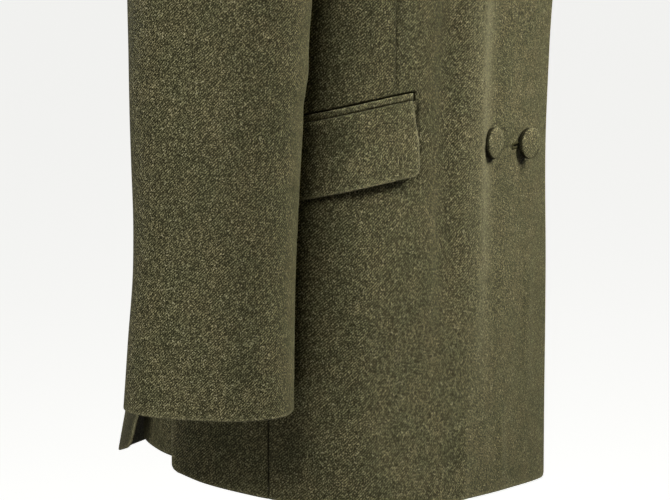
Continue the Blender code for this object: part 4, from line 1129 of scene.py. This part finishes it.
def flap_end(down, top_share, low_share, inwards):
    """The flap's end: it slants a little, then rounds off to the lower edge."""
    share = top_share + (low_share - top_share) * ease(down - WELT_WIDTH, 0.0, FLAP_DEPTH * FLAP_SLANT)
    into_corner = np.clip((down - WELT_WIDTH - FLAP_DEPTH) / FLAP_CORNER + 1.0, 0.0, 1.0)
    return share + inwards * FLAP_CORNER / POCKET_LENGTH * (1 - np.sqrt(1 - into_corner ** 2))


for side, word in ((-1, "right"), (1, "left")):
    across, down, edges = lay_strip(
        lambda down: np.full(down.shape, WELT_SHARES[1]),
        lambda down: np.full(down.shape, WELT_SHARES[0]),
        WELT_WIDTH, 0.0, *WELT_CELLS)
    finish = finish_edges(edges, {"low": 0.6, "high": 0.6, "start": 0.3, "end": 0.6})
    grid = pocket_place(side, across, down, CLOTH + WELT_PROUD)
    welt = mesh_cloth(word + "_pocket_welt", grid, finish, np.zeros(across.shape), side > 0)
    dress(welt, wool, "pocket_welt_" + word)

    across, down, edges = lay_strip(
        lambda down: flap_end(down, FLAP_TOP_SHARES[1], FLAP_SHARES[1], -1.0),
        lambda down: flap_end(down, FLAP_TOP_SHARES[0], FLAP_SHARES[0], 1.0),
        WELT_WIDTH + FLAP_DEPTH, WELT_WIDTH + FLAP_TOP_GAP, *FLAP_CELLS)
    finish = finish_edges(edges, {"low": 0.0, "high": 1.0, "start": 0.0, "end": 0.0})
    hang = (down - WELT_WIDTH) / FLAP_DEPTH
    stand = FLAP_STAND[0] + (FLAP_STAND[1] - FLAP_STAND[0]) * hang ** FLAP_STAND_POWER
    grid = pocket_place(side, across, down, CLOTH + stand)
    wave = FLAP_WAVE[0] * np.sin(across * FLAP_WAVE[1] + side) * hang
    # The flap's ends are pale: rubbed, and a painted highlight
    paling = FLAP_EDGE_PALING[0] * bell(np.minimum(edges["start"], edges["end"]), FLAP_EDGE_PALING[1])
    flap = mesh_cloth(word + "_pocket_flap", grid, finish, wave, side > 0, marks=paling)
    dress(flap, wool, "pocket_flap_" + word)


# ================================================================ the lapels
# Wide peaked lapels: the facing turns over the front's edge at the fold and lies back on the chest.

GORGE_POINT = (-58.0, -62.0)
NOTCH_POINT = (-110.0, -90.0)
PEAK_POINT = (-158.0, -76.0)
PEAK_SHARE = 0.84
LAPEL_BELLY = 20.0
LAPEL_BELLY_POWER = 0.8
LAPEL_FOOT = 14.0
LAPEL_LIFT = 2.7
LAPEL_FIRST_SHARES = {-1: 0.05, 1: 0.12}
LAPEL_ROLL = (1.6, 1.45, 0.35)      # more space under the lapel beside its fold: how much, where, how wide
LAPEL_FACING_MM = 80.0              # about how long one step of place is on the facing
LAPEL_FOLD_MM = 5.0                 # and in the fold
LAPEL_ROWS = ((50, 1.0), (8, 1.0))
# Across the lapel: how far out from the fold line, share of its width, height over the front
LAPEL_PROFILE = (
    # place, beyond_fold, share, lift
    (0.0, 0.5, 0.0, 0.2),
    (0.3, 1.75, 0.0, 1.0),
    (0.6, 1.9, 0.0, 2.0),
    (0.8, 1.2, 0.0, 3.2),
    (1.0, 0.0, 0.0, 4.2),
    (1.3, -4.0, 0.03, CLOTH + LAPEL_LIFT),
    (2.0, 0.0, 0.28, CLOTH + LAPEL_LIFT),
    (3.0, 0.0, 1.0, CLOTH + LAPEL_LIFT),
)


def lapel_ends(share):
    """Both ends of a row across the lapel in front view, on the wearer's right."""
    top = np.array([roll_x(NECK_HEIGHT), NECK_HEIGHT])
    low = np.array([EDGE_X, BREAK_HEIGHT])
    gorge = np.array(GORGE_POINT)
    peak = np.array(PEAK_POINT)
    notch = np.array(NOTCH_POINT)
    share = share[..., None]
    inner = low + (top - low) * share * (gorge[1] - low[1]) / (top[1] - low[1])
    along = (peak - low) / np.linalg.norm(peak - low)
    t = np.clip(share / PEAK_SHARE, 0.0, 1.0)
    bow = np.array([-along[1], along[0]]) * LAPEL_BELLY * np.sin(math.pi * t ** LAPEL_BELLY_POWER)
    rising = low + (peak - low) * t + bow
    falling = peak + (notch - peak) * (share - PEAK_SHARE) / (1 - PEAK_SHARE)
    outer = np.where(share <= PEAK_SHARE, rising, falling)
    reach = np.linalg.norm(outer - inner, axis=-1, keepdims=True)
    return inner, inner + (outer - inner) / reach * np.maximum(reach, LAPEL_FOOT)


def make_lapel(name, side):
    """The facing from inside the fold round to its outer edge, in rows from the break up to the gorge."""
    first = LAPEL_FIRST_SHARES[side]
    row_lines = rule_lines(*LAPEL_ROWS)
    low, high = lapel_ends(np.array([first, 1.0]))[0]
    length = np.linalg.norm(high - low)
    pins = [0.0, length * (PEAK_SHARE - first) / (1 - first), length]
    up = place_lines(row_lines, [np.full((row_lines.shape[1], 1), pin) for pin in pins], 1.0, 0)
    share = first + (1 - first) * up / length
    place = np.concatenate([
        LAPEL_PROFILE[-1][0] - np.array(FINE_STEPS[:-1]) / LAPEL_FACING_MM,
        np.linspace(2.95, 1.35, 26),
        np.linspace(1.25, 0.0, 16),
    ])
    beyond, width_share, lift = read_table(LAPEL_PROFILE, np.broadcast_to(place, (len(up), len(place))))
    inner, outer = lapel_ends(np.broadcast_to(share, width_share.shape))
    spot = inner + (outer - inner) * width_share[..., None]
    from_edge = (1 - width_share) * np.linalg.norm(outer - inner, axis=-1)
    roll, roll_place, roll_width = LAPEL_ROLL
    lift = lift + roll * bell(place - roll_place, roll_width)
    edges = {
        "low": up + 0 * width_share,
        "high": length - up + 0 * width_share,
        "start": from_edge,
        "end": np.broadcast_to(place * LAPEL_FOLD_MM, width_share.shape),
    }
    finish = finish_edges(edges, {"low": 0.0, "high": 1.0, "start": 0.0, "end": 0.0})
    angle = angle_at(spot[..., 0] + beyond, spot[..., 1])
    grid = front_point(side, angle, spot[..., 1], lift)
    return mesh_cloth(name, grid, finish, np.zeros(angle.shape), side > 0)


dress(make_lapel("right_lapel", -1), wool, "lapel_right")
dress(make_lapel("left_lapel", 1), wool, "lapel_left")


# ================================================================ the collar
# The stand is sewn to the neckline and rises to the fold, where the fall turns over and comes down round
# the outside. Both run in one piece from lapel to lapel.

COLLAR = (
    # place, stand, edge_angle, edge_height
    (0.00, 3.5, -61.5, -60.0),
    (0.06, 5.0, -61.5, -60.0),
    (0.15, 8.5, -65.5, -44.0),
    (0.26, 13.0, -71.5, -30.0),
    (0.40, 19.0, -83.0, -19.0),
    (0.55, 23.0, -100.0, -17.5),
    (0.70, 25.5, -122.0, -19.5),
    (0.85, 27.5, -150.0, -22.5),
    (1.00, 28.0, -180.0, -24.0),
)
COLLAR_SIDE = 0.4
COLLAR_START = 3.5
COLLAR_CORNER = (-106.0, -81.2)
COLLAR_FOOT_GAP = 0.8
COLLAR_LIFT = 2.4
COLLAR_SEAM = 0.3
COLLAR_HALF_LENGTH = 260.0          # about, for the grid's steps and the edges
COLLAR_WIDTH = 40.0
COLLAR_COLUMNS = 72
COLLAR_ROW_SCALE = 0.6
COLLAR_WAVE = (0.25, 17.0)          # height, and length over tau
COLLAR_LEAN = 0.1                   # how far the stand leans in to the neck, as a share of its height
COLLAR_HIP = 0.3                    # the share of the stand's height that the fall's curve is drawn towards
COLLAR_CORNER_REACH = 0.05          # the share of its half in which the fall's edge runs to its corner
GORGE_SLANT = (0.88, 0.0, 0.48)
STAND_CUT = (446.0, 30.0, 0.65)
FALL_CUT = (550.0, 70.0, 0.61)


def collar_foot(place):
    """Where the stand meets the neckline: up the front's edge, then round the back of the neck."""
    side_angle = angle_at(ROLL_TOP_X, NECK_HEIGHT)
    low = GORGE_POINT[1] + COLLAR_START
    rising = low + (NECK_HEIGHT - low) * np.clip(place / COLLAR_SIDE, 0.0, 1.0)
    behind = np.clip((place - COLLAR_SIDE) / (1 - COLLAR_SIDE), 0.0, 1.0)
    round_neck = side_angle + (-180.0 - side_angle) * behind
    angle = np.where(place <= COLLAR_SIDE, angle_at(roll_x(rising), rising), round_neck)
    foot = form_point(angle, rising)
    normal = body_point(angle, rising, 1.0) - foot
    level = unit(foot * np.array([1, 1, 0]))
    return foot, unit(normal + (level - normal) * ease(place, 0.0, COLLAR_SIDE)[..., None])


def collar_line(place, share):
    """The stand's inner face on the right half, from its foot, 0, to the fold, 1."""
    foot, away = collar_foot(place)
    stand = read_table(COLLAR, place)[0]
    upright = ease(place, 0.0, COLLAR_SIDE)[..., None]
    start = np.array(GORGE_SLANT)
    slant = unit(start + (np.array([0, 0, 1]) - away * COLLAR_LEAN - start) * upright)
    risen = foot + slant * (COLLAR_FOOT_GAP + stand * share)[..., None]
    return risen - away * (CLOTH + COLLAR_FOOT_GAP) * upright


def collar_fall_point(place, share):
    """The fall's inner face on the right half, from its outer edge, 0, to the fold, 1."""
    edge_angle, edge_height = read_table(COLLAR, place)[1:]
    to_corner = 1 - ease(place, 0.0, COLLAR_CORNER_REACH)
    edge_angle = edge_angle + (angle_at(*COLLAR_CORNER) - edge_angle) * to_corner
    edge_height = edge_height + (COLLAR_CORNER[1] - edge_height) * to_corner
    edge = body_point(edge_angle, edge_height, CLOTH + COLLAR_LIFT)
    away = collar_foot(place)[1]
    top = collar_line(place, 1.0) + away * (CLOTH + COLLAR_SEAM)
    hip = collar_line(place, COLLAR_HIP) + away * (2 * CLOTH + COLLAR_LIFT)
    share = share[..., None]
    back = 1 - share
    return top * share * share + hip * 2 * share * back + edge * back * back


for name, node, point_at, rows, cut in (
    ("collar_stand_piece", "collar_stand", collar_line, 4, STAND_CUT),
    ("collar_fall_piece", "collar_fall", collar_fall_point, 12, FALL_CUT),
):
    edge_steps = np.array(FINE_STEPS) / COLLAR_HALF_LENGTH
    half = np.concatenate([edge_steps, np.linspace(edge_steps[-1], 1.0, COLLAR_COLUMNS)[1:]])
    row_lines = rule_lines((rows, COLLAR_ROW_SCALE))
    shape = (row_lines.shape[1], len(half))
    place = np.broadcast_to(half, shape)
    share = place_lines(row_lines, [np.zeros(shape), np.ones(shape)], 1 / COLLAR_WIDTH, 0)
    right = point_at(place, share)
    left = right * np.array([-1, 1, 1])
    grid = np.concatenate([left, right[:, -2::-1]], 1)
    from_end = np.concatenate([place, place[:, -2::-1]], 1) * COLLAR_HALF_LENGTH
    up = np.concatenate([share, share[:, -2::-1]], 1) * COLLAR_WIDTH
    edges = {"low": up, "high": COLLAR_WIDTH - up, "start": from_end}
    low_kind = 1.0 if node == "collar_stand" else 0.0
    finish = finish_edges(edges, {"low": low_kind, "high": 0.4, "start": 0.3})
    piece = mesh_cloth(name, grid, finish, COLLAR_WAVE[0] * np.sin(from_end / COLLAR_WAVE[1]), False)
    dress(piece, wool, node)


# ================================================================ the buttons
# Domed metal shells covered with the jacket's own twill, drawn tight over the rim and gathered in behind.
# Each hangs on a shank of waxed thread, wound round where it stands up from the cloth.

BUTTON_DIAMETER = 25.5
BUTTONS = (
    # name, node, x, height, facing in degrees round from the front, stand
    ("fastened_button", "button_fastened", 7.0, -491.0, -19.3, 3.4),
    ("show_button", "button_show", -56.0, -483.0, -8.2, 1.6),
)
BUTTON_PROFILE = (
    # way, share, height, wear: below 0 painted shade on the side and back, at the rim a rub with a painted
    # highlight
    (0.0, 0.0, 0.6, -0.9),
    (1.0, 0.84, 0.2, -0.9),
    (1.4, 0.95, 0.1, -0.9),
    (1.8, 0.985, 1.2, -0.9),
    (2.2, 1.0, 3.4, -0.85),
    (2.4, 0.995, 4.3, -0.5),
    (2.6, 0.975, 5.0, 1.0),
    (3.0, 0.90, 5.5, 0.3),
    (4.0, 0.5, 6.1, 0.1),
    (5.0, 0.0, 6.3, 0.1),
)
SHANK_DIAMETER = 3.2
SHANK_PROFILE = (
    # way, share, share of the stand
    (0.0, 0.0, -0.3),
    (0.5, 1.4, -0.3),
    (1.0, 1.2, 0.0),
    (2.0, 0.9, 0.35),
    (3.0, 0.95, 0.8),
    (4.0, 1.2, 1.2),
    (5.0, 0.0, 1.3),
)
SHANK_STRANDS = 9
STRAND_RIDGE = 0.12                 # as a share of the shank's radius
STRAND_TWIST = 0.5                  # radians for each mm of its length
BUTTON_FINENESS = (44, 96)          # rings, and points round each
SHANK_FINENESS = (24, 54)
THREAD_COLOUR = "#35331f"
THREAD_PLY_SCALE = 1400.0           # to the metre, about 0.7 mm for a ply
THREAD_SHADES = (0.5, 1.5)
THREAD_ROUGHNESS = 0.6
THREAD_SPECULAR = 0.2
COVERED_BUTTON_LIGHT = 1.05         # cloth drawn tight over a shell looks a little lighter


def on_right_front(x, height):
    """A place on the outside of the right front."""
    x = np.array([x])
    height = np.array([height])
    return Vector(front_point(-1, angle_at(x, height), height, CLOTH)[0])


def turn_solid(name, profile, way_count, turn_count, radius, strands=0):
    """A solid turned round +Z, with its wear and painted shade and with the weave's map spread from its
    crown. Strands twist round it where it has any."""
    way = np.linspace(profile[0][0], profile[-1][0], way_count)
    columns = read_table(profile, way)
    share, height = columns[:2]
    wear_and_painted_shading = columns[2] if len(columns) > 2 else np.zeros(way_count)
    turn = np.linspace(0, math.tau, turn_count, endpoint=False)
    ridge = 1 + STRAND_RIDGE * np.cos(strands * (turn + height[:, None] * STRAND_TWIST)) * (strands > 0)
    ring = np.stack([
        radius * share[:, None] * np.cos(turn) * ridge,
        radius * share[:, None] * np.sin(turn) * ridge,
        np.broadcast_to(height[:, None], (way_count, turn_count)),
    ], -1)
    steps = np.hypot(np.diff(radius * share), np.diff(height))
    from_crown = np.concatenate([np.cumsum(steps[::-1])[::-1], [0.0]])
    flat = from_crown[:, None, None] * np.stack([np.cos(turn), np.sin(turn)], -1)
    points = np.concatenate([ring[1:-1].reshape(-1, 3), [ring[0, 0], ring[-1, 0]]])
    weave = np.concatenate([flat[1:-1].reshape(-1, 2), [flat[0, 0], flat[-1, 0]]])
    marked = np.concatenate([np.repeat(wear_and_painted_shading[1:-1], turn_count), [wear_and_painted_shading[0], wear_and_painted_shading[-1]]])
    rings = way_count - 2
    back = rings * turn_count
    crown = back + 1
    faces = []
    for k in range(turn_count):
        after = (k + 1) % turn_count
        faces.append((back, after, k))
        for row in range(rings - 1):
            low = row * turn_count
            faces.append((low + k, low + after, low + turn_count + after, low + turn_count + k))
        faces.append((crown, crown - 1 - turn_count + k, crown - 1 - turn_count + after))
    mesh = bpy.data.meshes.new(name)
    mesh.from_pydata(points.tolist(), [], faces)
    corners = np.array([index for face in faces for index in face])
    uv_map = mesh.uv_layers.new(name=WEAVE_MAP)
    uv_map.data.foreach_set("uv", (weave[corners] / 1000).astype(np.float32).ravel())
    mesh.attributes.new(WEAR_AND_PAINTED_SHADING, 'FLOAT', 'POINT').data.foreach_set("value", marked.astype(np.float32))
    mesh.shade_smooth()
    piece = bpy.data.objects.new(name, mesh)
    bpy.context.scene.collection.objects.link(piece)
    return piece


def waxed_thread(name):
    """Polyester thread, plied and waxed: a finely uneven shade and relief, and a low gloss."""
    material = bpy.data.materials.new(name)
    material.use_nodes = True
    tree = material.node_tree
    tree.nodes.clear()
    place = add_node(tree, "TexCoord", {}, {}, "Object")
    ply = add_node(tree, "TexNoise", {}, {"Vector": place, "Scale": THREAD_PLY_SCALE, "Detail": 2.0})
    shade = add_node(tree, "MapRange", {}, {0: ply, 1: 0.3, 2: 0.7, 3: THREAD_SHADES[0], 4: THREAD_SHADES[1]})
    colour = add_node(tree, "MixRGB", {"blend_type": 'MULTIPLY'}, {
        0: 1.0, 1: linear(THREAD_COLOUR), 2: shade})
    bump = add_node(tree, "Bump", {}, {"Strength": 0.4, "Distance": 0.0001, "Height": ply})
    shader = add_node(tree, "BsdfPrincipled", {}, {
        "Base Color": colour, "Roughness": THREAD_ROUGHNESS, "Normal": bump, "IOR": 1.5,
        "Specular IOR Level": THREAD_SPECULAR})
    add_node(tree, "OutputMaterial", {}, {"Surface": shader})
    return material


covered = wool_twill("wool_twill_on_button", COVERED_BUTTON_LIGHT)
thread = waxed_thread("polyester_thread_waxed")
for name, node, x, height, facing, button_stand in BUTTONS:
    place = on_right_front(x, height)
    turn = math.radians(facing)
    away = Vector((math.sin(turn), -math.cos(turn), 0.0))
    stand = Matrix.Translation(place / 1000) @ away.to_track_quat('Z', 'Y').to_matrix().to_4x4()
    shank = [(way, share, height * button_stand) for way, share, height in SHANK_PROFILE]
    for part, profile, fineness, radius, strands, rise, material in (
        ("", BUTTON_PROFILE, BUTTON_FINENESS, BUTTON_DIAMETER / 2, 0, button_stand, covered),
        ("_shank", shank, SHANK_FINENESS, SHANK_DIAMETER / 2, SHANK_STRANDS, 0.0, thread),
    ):
        piece = turn_solid(name + part, profile, *fineness, radius, strands)
        piece.data.transform(stand @ Matrix.Scale(0.001, 4) @ Matrix.Translation((0, 0, rise)))
        piece.data.materials.append(material)
        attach(piece, "root")
        if part == "":
            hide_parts(node)


# ================================================================ the buttonhole
# A slit through the right front behind the fastened button, its edge worked over with close purl stitches
# in thread that matches the cloth and fanned round both ends.

STITCH_SPACING = 0.75
STITCH_REACH = 2.1                  # from the slit's edge outwards
STITCH_RADIUS = 0.34
STITCH_SIDES = 6
STITCH_BEYOND = 0.6                 # how far the stitches go on past the slit's ends
STITCH_END_ROUND = 0.4              # how far the fan at each end bows out
STITCH_FAN = (-80.0, 81.0, 20.0)    # its first stitch, where it stops and its steps, in degrees
STITCH_ARCH = (
    # share of the reach, height over the cloth
    (0.0, -0.9),
    (0.04, -0.2),
    (0.12, 0.42),
    (0.35, 0.42),
    (0.75, 0.32),
    (1.0, -0.2),
)


def sew_stitches(name, feet, ways, face_normals):
    """Close stitches as one joined mesh: each an arch of thread from its foot out along its way."""
    arch = np.array(STITCH_ARCH)
    turn = np.linspace(0, math.tau, STITCH_SIDES, endpoint=False)
    points = []
    faces = []
    for foot, way, normal in zip(feet, ways, face_normals):
        beside = np.cross(way, normal)
        first = len(points)
        for share, rise in arch:
            centre = foot + way * share * STITCH_REACH + normal * rise
            for angle in turn:
                points.append(centre + STITCH_RADIUS * (beside * math.cos(angle) + normal * math.sin(angle)))
        for row in range(len(arch) - 1):
            for k in range(STITCH_SIDES):
                low = first + row * STITCH_SIDES
                after = (k + 1) % STITCH_SIDES
                faces.append((low + k, low + STITCH_SIDES + k, low + STITCH_SIDES + after, low + after))
        last = first + (len(arch) - 1) * STITCH_SIDES
        faces.append([first + k for k in range(STITCH_SIDES)])
        faces.append([last + k for k in reversed(range(STITCH_SIDES))])
    mesh = bpy.data.meshes.new(name)
    mesh.from_pydata((np.array(points) / 1000).tolist(), [], faces)
    mesh.shade_smooth()
    piece = bpy.data.objects.new(name, mesh)
    bpy.context.scene.collection.objects.link(piece)
    return piece


start = BUTTONHOLE_X[0] - STITCH_BEYOND
end = BUTTONHOLE_X[1] + STITCH_BEYOND
along = np.arange(start, end, STITCH_SPACING)
level = np.zeros(len(along))
fan = np.radians(np.arange(*STITCH_FAN))
out_x = np.cos(fan)
out_z = np.sin(fan)
# Sideways and up, in front view: along both edges, then fanned round each end
stitch_x = np.concatenate([along, along, end + STITCH_END_ROUND * out_x, start - STITCH_END_ROUND * out_x])
way_x = np.concatenate([level, level, out_x, -out_x])
way_z = np.concatenate([level + 1.0, level - 1.0, out_z, out_z])
stitch_z = BUTTONHOLE_HEIGHT + BUTTONHOLE_HALF * way_z


def on_cloth(x, z, out=0.0):
    """A place over the outside of the right front with its folds."""
    angle = angle_at(x, z)
    lift = soft_folds(BODY_FOLDS, -1, angle * MM_PER_DEGREE, z, MM_PER_DEGREE)
    return front_point(-1, angle, z, CLOTH + lift + out)


foot = on_cloth(stitch_x, stitch_z)
away = unit(on_cloth(stitch_x, stitch_z, 1.0) - foot)
onward = unit(on_cloth(stitch_x + way_x * STITCH_REACH, stitch_z + way_z * STITCH_REACH) - foot)
stitches = sew_stitches("buttonhole_stitches", foot, onward, away)
stitches.data.materials.append(thread)
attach(stitches, "root")


# ================================================================ the studio
# A plain pale floor that curves up into a wall all round, seen by the camera only, a dim white surround and
# four softboxes: a fill from the wearer's right, a key in front, the floor's bounce, and one behind.

FLOOR_HEIGHT = -1.45
FLOOR_SECTION = (
    # way, reach, height
    (0.0, 0.0, 0.0),
    (1.0, 14.0, 0.0),
    (2.0, 26.0, 4.0),
    (3.0, 30.0, 16.0),
    (4.0, 30.0, 40.0),
)
FLOOR_COLOUR = "#f2f2f0"
FLOOR_GLOW = 0.9                    # the floor's own light, which only the camera sees
WORLD_COLOUR = "#ffffff"
WORLD_STRENGTH = 0.09
FLOOR_FINENESS = (40, 64)
FLOOR_ROUGHNESS = 0.9

floor = turn_solid("studio_floor", FLOOR_SECTION, *FLOOR_FINENESS, 1.0)
floor.data.transform(Matrix.Translation((0, 0, FLOOR_HEIGHT)))
paint = bpy.data.materials.new("matt_white_floor_paint")
paint.use_nodes = True
painted = paint.node_tree.nodes["Principled BSDF"].inputs
painted["Base Color"].default_value = linear(FLOOR_COLOUR)
painted["Roughness"].default_value = FLOOR_ROUGHNESS
painted["Emission Color"].default_value = linear(FLOOR_COLOUR)
painted["Emission Strength"].default_value = FLOOR_GLOW
floor.data.materials.append(paint)
floor.visible_diffuse = False
floor.visible_glossy = False
floor.visible_shadow = False

world = bpy.data.worlds.new("studio_white")
bpy.context.scene.world = world
world.use_nodes = True
world.node_tree.nodes["Background"].inputs["Color"].default_value = linear(WORLD_COLOUR)
world.node_tree.nodes["Background"].inputs["Strength"].default_value = WORLD_STRENGTH

LIGHTS = (
    # name, aim, angle, elevation, distance, width, height, spread, power
    ("fill_softbox", (0.0, 0.0, -0.55), -87.5, 42.0, 2.9, 1.3, 1.3, 70.0, 18.8),
    ("key_softbox", (0.0, 0.0, -0.45), 22.0, 35.0, 1.9, 0.5, 0.9, 70.0, 18.0),
    ("floor_bounce", (0.0, 0.0, -0.7), -100.0, -22.0, 1.2, 0.7, 0.7, 180.0, 3.8),
    ("rim_softbox", (0.0, 0.0, -0.5), 168.0, 26.0, 2.6, 0.9, 1.4, 120.0, 9.0),
)
for name, aim, angle, elevation, distance, width, tall, spread, power in LIGHTS:
    lamp = bpy.data.lights.new(name, 'AREA')
    lamp.shape = 'RECTANGLE'
    lamp.size = width
    lamp.size_y = tall
    lamp.spread = math.radians(spread)
    lamp.energy = power
    light = bpy.data.objects.new(name, lamp)
    turn = math.radians(angle)
    rise = math.radians(elevation)
    away = Vector((math.sin(turn) * math.cos(rise), -math.cos(turn) * math.cos(rise), math.sin(rise)))
    light.location = Vector(aim) + away * distance
    light.rotation_euler = away.to_track_quat('Z', 'Y').to_euler()
    light.visible_camera = False
    light.visible_glossy = name != "key_softbox"    # its reflection would whiten the left shoulder
    bpy.context.scene.collection.objects.link(light)

CAMERA_AZIMUTH = 69.0       # degrees round to the wearer's right from the front
CAMERA_ELEVATION = 10.0
CAMERA_DISTANCE = 2.95
CAMERA_LENS = 190.0
CAMERA_AIM = (-0.003, -0.589)       # sideways in the picture and height, in metres
CAMERA_SENSOR = 36.0
CAMERA_REACH = 200.0

azimuth = math.radians(CAMERA_AZIMUTH)
elevation = math.radians(CAMERA_ELEVATION)
sideways = Vector((math.cos(azimuth), -math.sin(azimuth), 0.0))
forwards = Vector((
    math.sin(azimuth) * math.cos(elevation),
    math.cos(azimuth) * math.cos(elevation),
    -math.sin(elevation),
))
camera_data = bpy.data.cameras.new("photo_camera")
camera_data.lens = CAMERA_LENS
camera_data.sensor_width = CAMERA_SENSOR
camera_data.clip_end = CAMERA_REACH
camera = bpy.data.objects.new("photo_camera", camera_data)
camera.location = sideways * CAMERA_AIM[0] + Vector((0, 0, CAMERA_AIM[1])) - forwards * CAMERA_DISTANCE
camera.rotation_euler = (-forwards).to_track_quat('Z', 'Y').to_euler()
bpy.context.scene.collection.objects.link(camera)
bpy.context.scene.camera = camera
bpy.context.scene.view_settings.view_transform = 'Standard'
